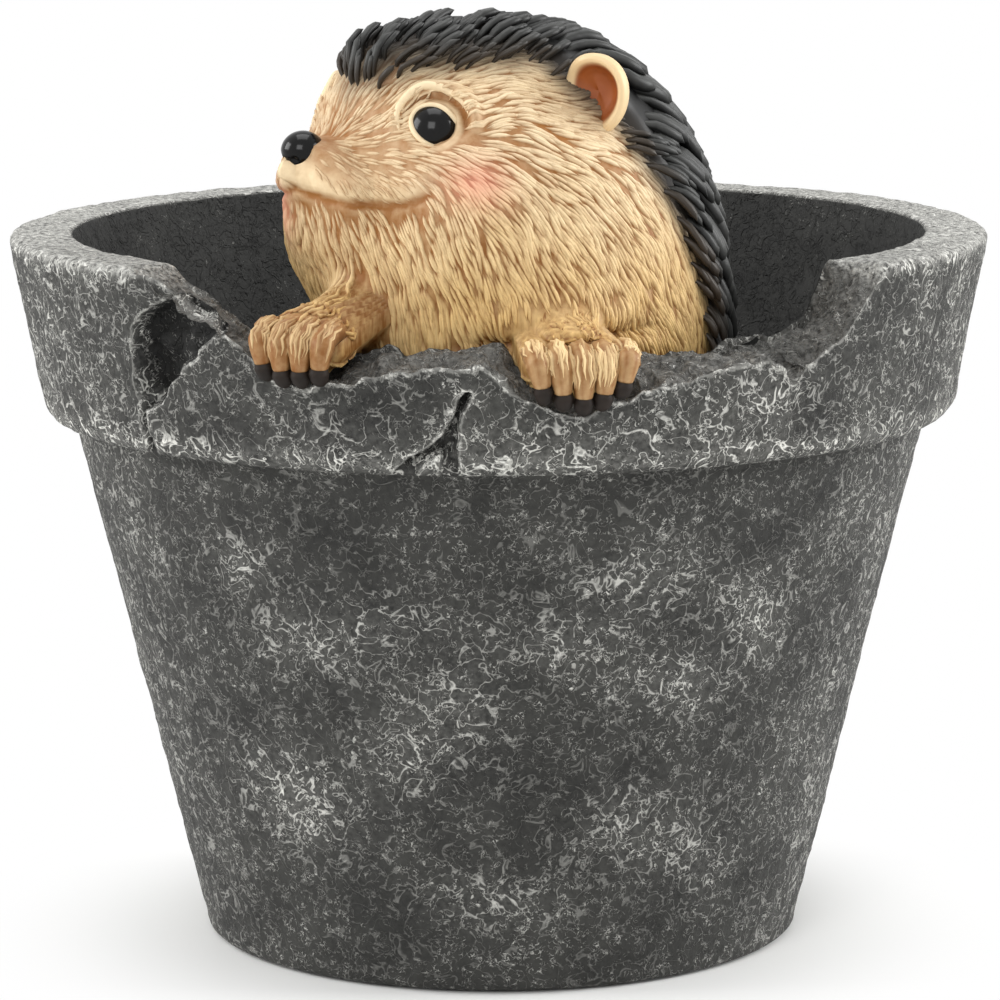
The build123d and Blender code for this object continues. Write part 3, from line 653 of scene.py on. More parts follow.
# %% Fur strands
FUR_BANDS = {"brow_fur": (163, 200), "cheek_fur": (146, 163), "chest_fur": (120, 146)}
places = spread_places(92000)
fur_ok = (behind_hairline(places) < 3.5) & (smooth_skin(places) < 0.5)
fur_ok &= (np.linalg.norm(places - NOSE, axis=-1) > 6)
fur_ok &= (np.hypot(places[:, 0], places[:, 1]) < OUTER - 6) | (places[:, 2] > 138)
places = places[fur_ok]
fur_pieces = []
for name, (low, high) in FUR_BANDS.items():
    part = places[(places[:, 2] > low) & (places[:, 2] <= high)]
    a, b, h = head_place(part)
    short = step(10, 26, a) * step(-12, 0, h)
    path, normals = hair_path(part, (5.6 - 2.0 * short) * rng.uniform(0.75, 1.3, len(part)), 5, 91)
    kept = np.linalg.norm(np.diff(path, axis=1), axis=-1).max(1) < 2.1
    path, normals, short = path[kept], normals[kept], short[kept]
    width = (1.1 - 0.25 * short) * rng.uniform(0.8, 1.2, len(path))
    height = (0.55 - 0.27 * short) * rng.uniform(0.7, 1.2, len(path))
    tone = (rng.uniform(0.7, 1.05, len(path)) - 0.22 * short)[:, None, None]
    crest = np.clip(np.array([-0.1, 1, 1, -0.1]) * np.array([0.3, 0.9, 1, 1, 0.6])[:, None] * tone, 0, 1)
    points = strands(path, normals, width, height).reshape(-1, 3)
    wash, blush, shade = paint_marks(points)
    fur_pieces.append(put_mesh(name, points, many_faces(len(path), 5, 4), crest=crest, wash=wash, blush=blush,
                               shade=shade))

# %% Arm fur
ARM_STRANDS = 190
arm_paths, arm_normals = [], []
for shoulder, wrist, thick, thin in BARS[::2]:
    along = unit(wrist - shoulder)
    side = unit(np.cross(along, UP))
    above = np.cross(side, along)
    share = rng.uniform(0.15, 1.0, (ARM_STRANDS, 1)) + np.linspace(-0.12, 0.12, 5)
    spoke = rng.uniform(-0.4, np.pi + 0.4, (ARM_STRANDS, 1)) + 0.12 * np.sin(share * 21)
    normal = side * np.cos(spoke)[..., None] + above * np.sin(spoke)[..., None]
    axis = shoulder + (wrist - shoulder) * share[..., None]
    radius = thick + (thin - thick) * share
    for _ in range(5):
        radius = radius - 0.8 * figure_distance(axis + normal * radius[..., None])
    outside = (radius < 9.5).all(1)
    arm_paths.append((axis + normal * radius[..., None])[outside])
    arm_normals.append(normal[outside])
path, normals = np.concatenate(arm_paths), np.concatenate(arm_normals)
points = strands(path, normals, rng.uniform(0.9, 1.3, len(path)), rng.uniform(0.35, 0.6, len(path))).reshape(-1, 3)
tone = rng.uniform(0.4, 0.95, (len(path), 1, 1))
crest = np.clip(np.array([-0.1, 1, 1, -0.1]) * np.array([0.3, 0.9, 1, 1, 0.6])[:, None] * tone, 0, 1)
wash, blush, shade = paint_marks(points)
fur_pieces.append(put_mesh("arm_fur", points, many_faces(len(path), 5, 4), crest=crest, wash=wash, blush=blush,
                           shade=np.zeros(len(points))))

# %% [markdown]
# ## Eyelids
# A narrow rolled lid frames each glass-black eye, drawn out to a corner at the back. It is a round bead carried along
# an almond path that lies on the eyeball.

# %% Eyelid beads


def bead(path, radius, around):
    """A round bead along paths: rings of points in the plane across the path, at the radius given for each point."""
    along = unit(np.gradient(path, axis=0))
    first = unit(np.cross(along, path - HEAD))
    second = np.cross(along, first)
    angle = np.linspace(0, 2 * np.pi, around, endpoint=False)
    ring = first[:, None] * np.cos(angle)[:, None] + second[:, None] * np.sin(angle)[:, None]
    return path[:, None] + ring * np.broadcast_to(radius, len(path))[:, None, None]


def eyelid(side):
    """Almond path: nearly a circle at the front and drawn out at the back, each point set on the eyeball."""
    centre, aim, upward, backward = eye_frame(side)
    t = np.linspace(0, 2 * np.pi, 96, endpoint=False)
    out = 4.3 + 0.8 * np.exp(-((np.minimum(t, 2 * np.pi - t) / 0.42) ** 2))
    flat = out[:, None] * (np.cos(t)[:, None] * (backward - 0.22 * upward) + 0.94 * np.sin(t)[:, None] * upward)
    depth = np.sqrt(np.clip((EYE_RADIUS + 0.05) ** 2 - (flat**2).sum(-1), 5, 40))
    return centre + flat + depth[:, None] * aim


def brow(side):
    """Arch on the skin from the front corner over the eye to its back corner, highest above the front."""
    centre, aim, upward, backward = eye_frame(side)
    t = np.linspace(0.08, 1.1, 97) * np.pi
    out = np.interp(t / np.pi, [0.08, 0.3, 0.6, 0.9, 1.1], [6.9, 7.4, 8.0, 7.6, 6.7])[:, None]
    flat = out * (np.cos(t)[:, None] * (backward - 0.12 * upward) + np.sin(t)[:, None] * upward)
    path = on_skin(centre + flat + 3 * aim)
    return path - 0.2 * skin_normal(path)


lid_rings = []
brow_girth = 0.85 * np.sin(np.linspace(0.0, np.pi, 97)) ** 0.6
for side in (1, -1):
    lid = eyelid(side)
    lid_rings += [bead(np.concatenate([lid, lid[:1]]), 0.54, 12), bead(brow(side), brow_girth, 12)]
lid_faces = many_faces(4, 97, 12, True)
flat_points = np.concatenate(lid_rings).reshape(-1, 3)
lids = put_mesh("eyelids", flat_points, lid_faces, crest=np.full(len(flat_points), 1.0),
                wash=np.zeros(len(flat_points)), blush=np.zeros(len(flat_points)), shade=np.zeros(len(flat_points)))

# %% [markdown]
# ## Coat of quills
# Behind the hairline the real figure carries thick ropes of clay laid back over each other like roof tiles. A thin
# shell raised above the skin carries them, and each quill is a tapering round bar along the lie of the coat: its root
# starts inside the shell and its blunt end rests on the next.

# %% Shell under the quills
COAT_ROWS, COAT_COLUMNS = 120, 240
coat_turns = np.linspace(-np.pi, np.pi, COAT_COLUMNS, endpoint=False)
coat_lifts = np.linspace(-np.pi / 2, np.pi / 2, COAT_ROWS + 2)[1:-1]
coat_ways = np.concatenate([directions(*np.meshgrid(coat_turns, coat_lifts)).reshape(-1, 3), pole_ways])
coat_base = on_skin(MIDDLE + 50 * coat_ways)
back = behind_hairline(coat_base)
coat_rise = -7 + 5.8 * step(-6, -1, back) + (2.0 + 1.4 * np.clip(coat_ways[:, 2], 0, 1)) * step(0, 6, back)
coat_points = inside_pot(coat_base + coat_ways * coat_rise[:, None])
coat_shade = step(0.0, 7.0, back)
coat = put_mesh("quill_shell", coat_points, ball_faces(COAT_ROWS, COAT_COLUMNS), crest=np.zeros(len(coat_points)),
                tip=coat_shade)

# %% Quills
QUILL_RINGS, QUILL_SIDES = 7, 6


def quill_set(name, count, nearest, farthest, length, radius):
    """Quills between two distances behind the hairline: tubes along the lie of the coat that rise from the skin
    to their tips, and grow to full size away from the hairline."""
    places = spread_places(count)
    behind = behind_hairline(places)
    grows = (behind > nearest) & (behind < farthest) & (places[:, 2] > 96)
    grows &= np.minimum(*(np.linalg.norm(places - ear, axis=-1) for ear in EARS)) > 8
    places = places[grows]
    grown = 0.5 + 0.5 * step(-1, 14, behind[grows])
    path, normals = hair_path(places, length * grown * rng.uniform(0.8, 1.15, len(places)), QUILL_RINGS, 95)
    share = np.linspace(0, 1, QUILL_RINGS)
    lift = radius / 1.7 * np.interp(share, [0, 0.25, 0.75, 1], [-0.4, 1.5, 3.0, 3.2])
    size = radius * np.interp(share, [0, 0.2, 0.6, 0.85, 0.97, 1], [0.7, 1, 1, 0.85, 0.45, 0.05])
    lift = lift * (1 + 0.45 * np.clip(normals[:, 0, 2], 0, 1))[:, None]
    path = path + normals * lift[..., None]
    along = unit(np.gradient(path, axis=1))
    across = np.cross(along, normals)
    angle = np.linspace(0, 2 * np.pi, QUILL_SIDES, endpoint=False)
    girth = size * (grown * rng.uniform(0.85, 1.15, len(places)))[:, None]
    ring = across[:, :, None] * np.cos(angle)[:, None] * 1.08
    ring = ring - np.cross(across, along)[:, :, None] * np.sin(angle)[:, None]
    points = path[:, :, None] + ring * girth[:, :, None, None]
    crest = np.broadcast_to(np.clip(-np.sin(angle), 0, 1), points.shape[:3])
    tip = np.broadcast_to(step(0, 5, behind_hairline(path))[..., None], crest.shape)
    points = inside_pot(points.reshape(-1, 3))
    points[:, 2] = np.minimum(points[:, 2], 193.6)
    faces = many_faces(len(places), QUILL_RINGS, QUILL_SIDES, True)
    return put_mesh(name, points, faces, crest=crest, tip=tip)


quills = quill_set("quills", 7000, -1.0, 200.0, 16.0, 1.7)
fringe = quill_set("quill_fringe", 15000, -2.0, 7.0, 11.0, 1.3)

# %% [markdown]
# ## Ears
# Each ear is a small thumb-pressed bowl with a thick rolled rim that melts into the forehead on its front side. It is
# a profile carried round the bowl's axis, with the rim's height a function of the angle.

# %% Ear bowls
EAR_PROFILE = np.array([(0.05, -2.9), (1.9, -2.8), (3.6, -2.3), (4.9, -1.3), (5.7, 0.0), (6.3, 0.9), (7.0, 1.3), (7.7, 0.9),
                        (8.1, 0.0), (7.9, -1.6), (7.1, -3.4), (5.6, -5.2), (3.2, -6.6), (0.05, -7.0)])


def ear_points(side):
    """The profile carried round the axis: taller than wide, the front of its rim sunk towards the head."""
    aim = np.cos(EAR_AIM) * FORWARD + side * np.sin(EAR_AIM) * LEFT
    outward = side * np.cos(EAR_AIM) * LEFT - np.sin(EAR_AIM) * FORWARD
    centre = EARS[0] + 2.0 * aim + 0.6 * outward if side > 0 else EARS[1] + 1.0 * aim - 2.0 * outward - 1.5 * UP
    t = np.linspace(0, 2 * np.pi, 48, endpoint=False)
    fine = np.linspace(0, len(EAR_PROFILE) - 1, 40)
    radius = np.interp(fine, np.arange(len(EAR_PROFILE)), EAR_PROFILE[:, 0])[:, None]
    depth = np.interp(fine, np.arange(len(EAR_PROFILE)), EAR_PROFILE[:, 1])[:, None]
    inner = step(-0.9, 0.3, np.cos(t - 0.5))
    depth = depth - (1 - inner) * np.clip(depth + 3.4, 0, 9) * 0.9
    wide = radius * np.cos(t) * 0.84
    tall = radius * np.sin(t) * (0.98 - 0.06 * np.sin(t))
    return centre + wide[..., None] * outward + tall[..., None] * UP + depth[..., None] * aim, fine, t


ear_pieces = {}
for name, side in (("left_ear_bowl", 1), ("right_ear_bowl", -1)):
    points, fine, t = ear_points(side)
    faces = grid_faces(*points.shape[:2], True)
    faces = faces[:, ::-1] if side > 0 else faces
    bowl = np.broadcast_to(step(5.4, 3.4, fine)[:, None], points.shape[:2])
    ear_pieces[name] = put_mesh(name, points, faces, bowl=bowl)

# %% [markdown]
# ## Forepaws
# The arms and hands are already part of the body's blend. Each hand ends in short fingers that grip the broken rim side
# by side, and each finger in a blunt dark claw. A finger is a bead along a bent path, swollen at its joints, with
# strands of fur laid along its back.

# %% Finger paths


def fingers(angle, count, rise):
    """Paths of the fingers: from behind the knuckle, over the edge, down to the claw."""
    spread = (np.arange(count) - (count - 1) / 2) * FINGER_PITCH
    sag = OUTER - np.sqrt(OUTER**2 - spread**2)
    short = 0.3 * np.abs(spread) + rng.uniform(-0.5, 0.5, count)
    stations = [(-8.5, 1.4, 0.85), (-4.2, 3.2, 1.0), (-0.2, 2.3, 1.04), (1.1, -1.2, 0.99), (0.9, -5.8, 0.88)]
    rows = [paw_place(angle, rise, OUTER + out - sag, spread * fan, z + short * (z < 0)) for out, z, fan in stations]
    return np.stack(rows, 1)


def smooth_path(points, count):
    """Points along a path through a few stations: a Catmull-Rom curve, read at equal steps."""
    t = np.linspace(0, points.shape[-2] - 1.0001, count)
    k = np.floor(t).astype(int)
    f = (t - k)[:, None]
    padded = np.concatenate([2 * points[..., :1, :] - points[..., 1:2, :], points,
                             2 * points[..., -1:, :] - points[..., -2:-1, :]], -2)
    p0, p1, p2, p3 = (padded[..., k + j, :] for j in range(4))
    return 0.5 * (2 * p1 + (p2 - p0) * f + (2 * p0 - 5 * p1 + 4 * p2 - p3) * f**2
                  + (3 * p1 - p0 - 3 * p2 + p3) * f**3)


# %% Fingers and claws
FINGER_ROWS, FINGER_SIDES, STRANDS_PER_FINGER = 26, 20, 16
paw_pieces, claw_pieces = {}, {}
for name, (angle, count, rise) in PAWS.items():
    turned = np.radians(angle)
    outward, rim_way = np.array([np.sin(turned), -np.cos(turned), 0]), np.array([np.cos(turned), np.sin(turned), 0])
    share = np.linspace(0, 1, FINGER_ROWS)
    girth = np.interp(share, [0, 0.3, 0.5, 0.66, 0.8, 0.93, 1], [2.3, 2.6, 2.35, 2.6, 2.3, 1.8, 0.6])
    around = np.linspace(0, 2 * np.pi, FINGER_SIDES, endpoint=False)
    groove = 1 - 0.05 * (1 + np.sin(around * 7 + 1.1)) * np.sin(np.pi * share)[:, None] ** 0.5
    path = smooth_path(fingers(angle, count, rise), FINGER_ROWS)
    along = unit(np.gradient(path, axis=1))
    side = unit(rim_way - (along * rim_way).sum(-1, keepdims=True) * along)
    top = np.cross(along, side)
    ring = side[:, :, None] * np.cos(around)[:, None] * 0.95 + top[:, :, None] * np.sin(around)[:, None]
    points = path[:, :, None] + ring * (girth[:, None] * groove)[None, ..., None]
    crest = np.broadcast_to(0.25 + 0.75 * (groove - 0.9) / 0.1 * np.clip(np.sin(around) + 0.35, 0, 1), points.shape[:3])
    # Painted shade: the underside of each finger takes the paint's deeper colours.
    underside_shade = np.broadcast_to(1 - np.clip(np.sin(around) + 0.55, 0, 1), points.shape[:3])
    finger_faces = many_faces(count, FINGER_ROWS, FINGER_SIDES, True)

    rows = np.linspace(0, 9, 5) + rng.uniform(2, 13, (count, STRANDS_PER_FINGER, 1))
    lower = np.floor(rows).astype(int)
    mix = (rows - lower)[..., None]
    spoke = rng.uniform(0.12, 0.88, (count, STRANDS_PER_FINGER, 1)) * np.pi + 0.12 * np.sin(rows * 1.3)
    which = np.arange(count)[:, None, None]
    axis = path[which, lower] * (1 - mix) + path[which, lower + 1] * mix
    hair_normal = side[which, lower] * np.cos(spoke)[..., None] * 0.95 + top[which, lower] * np.sin(spoke)[..., None]
    hair_path_points = axis + hair_normal * (np.interp(rows, np.arange(FINGER_ROWS), girth) - 0.15)[..., None]
    many = count * STRANDS_PER_FINGER
    hair = strands(hair_path_points.reshape(many, 5, 3), hair_normal.reshape(many, 5, 3), rng.uniform(0.7, 1.2, many),
                   rng.uniform(0.35, 0.55, many))
    hair_crest = PAW_CREAM_AND_LIGHT[name] * rng.uniform(0.3, 1, (many, 1, 1)) * np.ones(hair.shape[:3])
    hair_crest = np.clip(hair_crest, 0, 1) * np.array([0.0, 1, 1, 0.0])
    flat_points = np.concatenate([points.reshape(-1, 3), hair.reshape(-1, 3)])
    faces = [finger_faces, many_faces(many, 5, 4) + points.size // 3]
    crest = np.concatenate([0.22 * PAW_CREAM_AND_LIGHT[name] * crest.ravel(), hair_crest.ravel()])
    underside_shade = np.concatenate([underside_shade.ravel(), np.zeros(hair_crest.size)])
    paw_pieces[name] = put_mesh(name + "_paw", flat_points, faces, crest=crest, wash=underside_shade,
                                blush=np.zeros(len(flat_points)), shade=np.zeros(len(flat_points)))

    tips = path[:, -1]
    lean = unit(unit(path[:, -1] - path[:, -3]) - 0.25 * UP - 0.1 * outward)
    share = np.linspace(0, 1, 12)
    claw_path = tips[:, None] + lean[:, None] * (share * 3.8 - 1.4)[:, None] - outward * (share**2 * 0.9)[:, None]
    girth = np.interp(share, [0, 0.3, 0.7, 0.92, 1], [1.7, 2.0, 1.6, 0.9, 0.1])
    around = np.linspace(0, 2 * np.pi, 14, endpoint=False)
    side = unit(rim_way - (lean * rim_way).sum(-1, keepdims=True) * lean)
    top = np.cross(lean, side)
    ring = side[:, None] * np.cos(around)[:, None] + top[:, None] * np.sin(around)[:, None]
    points = claw_path[:, :, None] + ring[:, None] * girth[None, :, None, None]
    claw_pieces[name] = put_mesh(name + "_claw_set", points, many_faces(count, 12, 14, True))

# %% [markdown]
# ## Eyes and nose
# All three are beads: the eyes plain balls, the nose a little wider than tall with two nostrils pressed into its
# front. A bead is a ball of directions, and its radius dips at the nostrils.

# %% Beads
bead_turns = np.linspace(-np.pi, np.pi, 72, endpoint=False)
bead_lifts = np.linspace(-np.pi / 2, np.pi / 2, 42)[1:-1]
bead_ways = np.concatenate([directions(*np.meshgrid(bead_turns, bead_lifts)).reshape(-1, 3), pole_ways])
eye_pieces = {node: put_mesh(node + "_ball", eye_frame(side)[0] + EYE_RADIUS * bead_ways, ball_faces(40, 72))
              for node, side in (("left_eye", 1), ("right_eye", -1))}
local = np.stack([bead_ways @ FORWARD, bead_ways @ LEFT, bead_ways[:, 2]], -1)
dip = sum(np.exp(-((np.linalg.norm(local - unit(np.array([0.75, side * 0.5, -0.35])), axis=-1) / 0.2) ** 2))
          for side in (1, -1))
swell = (1 - 0.1 * dip) * (1 - 0.08 * step(0.2, -1, local[:, 2]))
nose = put_mesh("nose_bead", NOSE + (local * NOSE_SIZE * swell[:, None]) @ np.stack([FORWARD, LEFT, UP]), ball_faces(40, 72))

# %% Pieces stand for their nodes
for node, piece in (("nose", nose), *eye_pieces.items()):
    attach(piece, "planter")
    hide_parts(node)
for piece in (body, *fur_pieces, lids):
    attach(piece, "planter")
    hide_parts("hedgehog_body")
for piece in (coat, quills, fringe):
    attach(piece, "planter")
    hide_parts("quill_mantle")
for name, piece in ear_pieces.items():
    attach(piece, "planter")
    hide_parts(name.replace("_bowl", ""))
for name in PAWS:
    for piece, node, paint in ((paw_pieces[name], "_forepaw", "paw_paint"), (claw_pieces[name], "_claws", "claw_paint")):
        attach(piece, "planter")
        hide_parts(name + node)

# %% [markdown]
# ## Finishes
# A colour is written as sRGB hex, as a paint chart gives it, and one function turns it to the linear values that
# shaders work with. One small function adds a node, sets its sockets and links its inputs.

# %% Colour and node helpers


def linear(code):
    """Linear red, green, blue and alpha from an sRGB hex value."""
    srgb = np.array([int(code[i:i + 2], 16) for i in (1, 3, 5)]) / 255
    low, high = srgb / 12.92, ((srgb + 0.055) / 1.055) ** 2.4
    return (*np.where(srgb <= 0.04045, low, high).tolist(), 1.0)


def add(tree, kind, settings=None, **inputs):
    """Adds a node: settings are its own properties, inputs are socket values or other nodes' output sockets."""
    node = tree.nodes.new(kind)
    for key, value in (settings or {}).items():
        setattr(node, key, value)
    for key, value in inputs.items():
        socket = node.inputs[int(key[1:])] if key[1:].isdigit() else node.inputs[key.replace("_", " ")]
        if isinstance(value, bpy.types.NodeSocket):
            tree.links.new(value, socket)
        else:
            socket.default_value = value
    return node


def new_material(name):
    """A material with one Principled shader, and that shader and the node tree."""
    material = bpy.data.materials.new(name)
    material.use_nodes = True
    return material, material.node_tree, material.node_tree.nodes["Principled BSDF"]


# %% [markdown]
# Cast polyester resin with stone dust, painted charcoal and dry-brushed with pale grey. Dry-brushing leaves paint only
# on crests and edges, so the pale colour is driven by the edge, worn and brush numbers, by noise and by fine grain.
# The extra pale on the pot's flanks is painted light, and the near-black mixed into the flake, the crack, the fracture
# and the inner wall is painted shade.

# %% Stone finish
stone, tree, shader = new_material("painted_cast_stone_resin")
place = add(tree, "ShaderNodeTexCoord").outputs["Object"]
mark = {m: add(tree, "ShaderNodeAttribute", {"attribute_name": m}).outputs["Fac"]
        for m in ("brush", "edge", "worn", "fracture", "hollow", "chip")}
cloud = add(tree, "ShaderNodeTexNoise", Vector=place, Scale=60.0, Detail=4.0, Roughness=0.6).outputs["Fac"]
grain = add(tree, "ShaderNodeTexNoise", Vector=place, Scale=900.0, Detail=5.0, Roughness=0.65).outputs["Fac"]
gate = add(tree, "ShaderNodeTexNoise", Vector=place, Scale=520.0, Detail=2.0).outputs["Fac"]
gate = add(tree, "ShaderNodeMapRange", Value=gate, From_Min=0.46, From_Max=0.57).outputs[0]
wisps = []
for pitch_mm, thin in ((1.2, 0.036), (4.2, 0.026)):
    curl = add(tree, "ShaderNodeTexNoise", Vector=place, Scale=1000 / pitch_mm, Detail=2.5, Roughness=0.5, Distortion=0.7)
    level = add(tree, "ShaderNodeMath", {"operation": "SUBTRACT"}, _0=curl.outputs["Fac"], _1=0.5).outputs[0]
    level = add(tree, "ShaderNodeMath", {"operation": "ABSOLUTE"}, _0=level).outputs[0]
    wisps.append(add(tree, "ShaderNodeMapRange", Value=level, From_Min=thin, From_Max=thin * 0.25).outputs[0])
short = add(tree, "ShaderNodeMath", {"operation": "MULTIPLY"}, _0=wisps[0], _1=gate).outputs[0]
patch = add(tree, "ShaderNodeMath", {"operation": "MULTIPLY"}, _0=mark["brush"], _1=cloud).outputs[0]
patch = add(tree, "ShaderNodeMath", {"operation": "MULTIPLY_ADD"}, _0=mark["edge"], _1=0.8, _2=patch).outputs[0]
share = add(tree, "ShaderNodeMapRange", Value=cloud, From_Min=0.38, From_Max=0.64, To_Min=0.18, To_Max=0.85).outputs[0]
fine = add(tree, "ShaderNodeMath", {"operation": "MULTIPLY_ADD"}, _0=patch, _1=0.6, _2=share).outputs[0]
fine = add(tree, "ShaderNodeMath", {"operation": "MULTIPLY"}, _0=short, _1=fine).outputs[0]
net = add(tree, "ShaderNodeMath", {"operation": "MULTIPLY_ADD"}, _0=patch, _1=1.0, _2=0.12).outputs[0]
net = add(tree, "ShaderNodeMath", {"operation": "MULTIPLY"}, _0=wisps[1], _1=net).outputs[0]
paint = add(tree, "ShaderNodeMath", {"operation": "ADD"}, _0=fine, _1=net).outputs[0]
rub = add(tree, "ShaderNodeMapRange", Value=grain, From_Min=0.35, From_Max=0.7).outputs[0]
haze = add(tree, "ShaderNodeMath", {"operation": "MULTIPLY"}, _0=rub, _1=patch).outputs[0]
paint = add(tree, "ShaderNodeMath", {"operation": "MULTIPLY_ADD"}, _0=haze, _1=0.17, _2=paint).outputs[0]
rub = add(tree, "ShaderNodeMath", {"operation": "MULTIPLY"}, _0=rub, _1=mark["worn"]).outputs[0]
paint = add(tree, "ShaderNodeMath", {"operation": "MULTIPLY_ADD", "use_clamp": True}, _0=rub, _1=0.95, _2=paint).outputs[0]
mottle = add(tree, "ShaderNodeMath", {"operation": "MULTIPLY_ADD"}, _0=grain, _1=0.6, _2=cloud).outputs[0]
mottle = add(tree, "ShaderNodeMapRange", Value=mottle, From_Min=0.52, From_Max=1.1).outputs[0]
dark = add(tree, "ShaderNodeMix", {"data_type": "RGBA"}, _0=mottle, _6=linear("#1e1e1d"), _7=linear("#40403d"))
warm = add(tree, "ShaderNodeMix", {"data_type": "RGBA"}, _0=mark["fracture"], _6=dark.outputs[2], _7=linear("#3a3834"))
chip = add(tree, "ShaderNodeMath", {"operation": "MULTIPLY_ADD"}, _0=grain, _1=1.4, _2=mark["chip"]).outputs[0]
# Painted shade: inside the flake and the crack, on the fracture and on the inner wall the colour goes towards
# near-black.
shade_share = add(tree, "ShaderNodeMapRange", Value=chip, From_Min=0.55, From_Max=0.85).outputs[0]
shade_share = add(tree, "ShaderNodeMath", {"operation": "MULTIPLY"}, _0=shade_share, _1=mark["hollow"]).outputs[0]
rim_line = add(tree, "ShaderNodeMath", {"operation": "SUBTRACT"}, _0=chip, _1=0.4).outputs[0]
rim_line = add(tree, "ShaderNodeMath", {"operation": "ABSOLUTE"}, _0=rim_line).outputs[0]
rim_line = add(tree, "ShaderNodeMapRange", Value=rim_line, From_Min=0.38, From_Max=0.08, To_Max=0.75).outputs[0]
chalk = add(tree, "ShaderNodeMapRange", Value=gate, To_Min=0.3, To_Max=1.0).outputs[0]
rim_line = add(tree, "ShaderNodeMath", {"operation": "MULTIPLY"}, _0=rim_line, _1=chalk).outputs[0]
paint = add(tree, "ShaderNodeMath", {"operation": "MAXIMUM"}, _0=paint, _1=rim_line).outputs[0]
# The near-black #0f0f0e is painted shade.
deep = add(tree, "ShaderNodeMix", {"data_type": "RGBA"}, _0=shade_share, _6=warm.outputs[2], _7=linear("#0f0f0e"))
pale = add(tree, "ShaderNodeMix", {"data_type": "RGBA"}, _0=paint, _6=deep.outputs[2], _7=linear("#dcdbd5"))
tree.links.new(pale.outputs[2], shader.inputs["Base Color"])
shader.inputs["Roughness"].default_value = 0.7
shader.inputs["Specular IOR Level"].default_value = 0.25
height = add(tree, "ShaderNodeMath", {"operation": "MULTIPLY_ADD"}, _0=wisps[1], _1=0.5, _2=short).outputs[0]
height = add(tree, "ShaderNodeMath", {"operation": "MULTIPLY_ADD"}, _0=grain, _1=0.6, _2=height).outputs[0]
bump = add(tree, "ShaderNodeBump", Strength=1.0, Distance=0.0007, Height=height)
tree.links.new(bump.outputs["Normal"], shader.inputs["Normal"])
for piece in (pot_wall, pot_rim, pot_inside):
    piece.data.materials.append(stone)

# %% [markdown]
# Resin paint on the animal: a golden-brown wash settles in the grooves, cream is dry-brushed over the ridges, the
# cheeks are blushed and the coat darkens towards the quills. The colours deepen towards the bottom of the body, and
# the deeper colours on the underside of the fingers are painted shade. The numbers on the points say where each lies.

# %% Fur finish


def brushed_paint(name, groove, ridge, deep_groove, deep_ridge):
    """Paint that goes from a groove's colour to a ridge's, each deepened lower on the body and, as painted shade, under
    the fingers, then blushed and darkened.
    """
    material, tree, shader = new_material(name)
    mark = {m: add(tree, "ShaderNodeAttribute", {"attribute_name": m}).outputs["Fac"]
            for m in ("crest", "wash", "blush", "shade")}
    place = add(tree, "ShaderNodeTexCoord").outputs["Object"]
    grain = add(tree, "ShaderNodeTexNoise", Vector=place, Scale=700.0, Detail=4.0).outputs["Fac"]
    long_place = add(tree, "ShaderNodeVectorMath", {"operation": "MULTIPLY"}, _0=place, _1=(900, 900, 130)).outputs[0]
    streak = add(tree, "ShaderNodeTexNoise", Vector=long_place, Scale=1.0, Detail=2.0).outputs["Fac"]
    streak = add(tree, "ShaderNodeMath", {"operation": "SUBTRACT"}, _0=streak, _1=0.5).outputs[0]
    streak = add(tree, "ShaderNodeMath", {"operation": "MULTIPLY"}, _0=streak, _1=mark["wash"]).outputs[0]
    blotch = add(tree, "ShaderNodeMath", {"operation": "MULTIPLY_ADD"}, _0=grain, _1=0.5, _2=-0.25).outputs[0]
    blotch = add(tree, "ShaderNodeMath", {"operation": "MULTIPLY_ADD"}, _0=streak, _1=1.6, _2=blotch).outputs[0]
    crest = add(tree, "ShaderNodeMath", {"operation": "ADD", "use_clamp": True}, _0=mark["crest"], _1=blotch).outputs[0]
    low = add(tree, "ShaderNodeMix", {"data_type": "RGBA"}, _0=mark["wash"], _6=linear(groove), _7=linear(deep_groove))
    high = add(tree, "ShaderNodeMix", {"data_type": "RGBA"}, _0=mark["wash"], _6=linear(ridge), _7=linear(deep_ridge))
    colour = add(tree, "ShaderNodeMix", {"data_type": "RGBA"}, _0=crest, _6=low.outputs[2], _7=high.outputs[2])
    rosy = add(tree, "ShaderNodeMath", {"operation": "MULTIPLY"}, _0=mark["blush"], _1=0.62).outputs[0]
    colour = add(tree, "ShaderNodeMix", {"data_type": "RGBA"}, _0=rosy, _6=colour.outputs[2], _7=linear("#e0917c"))
    colour = add(tree, "ShaderNodeMix", {"data_type": "RGBA"}, _0=mark["shade"], _6=colour.outputs[2],
                 _7=linear("#3b342c"))
    tree.links.new(colour.outputs[2], shader.inputs["Base Color"])
    shader.inputs["Roughness"].default_value = 0.55
    shader.inputs["Specular IOR Level"].default_value = 0.35
    bump = add(tree, "ShaderNodeBump", Strength=0.25, Distance=0.0003, Height=grain)
    tree.links.new(bump.outputs["Normal"], shader.inputs["Normal"])
    return material


fur_paint = brushed_paint("cream_paint_over_golden_wash", "#925f2a", "#e4cea9", "#784a18", "#d2ad6b")
paw_paint = brushed_paint("paw_paint_over_brown_wash", "#7f4f1e", "#dfc392", "#4f2f10", "#b58246")
for piece in (body, *fur_pieces, lids):
    piece.data.materials.append(fur_paint)
for piece in paw_pieces.values():
    piece.data.materials.append(paw_paint)
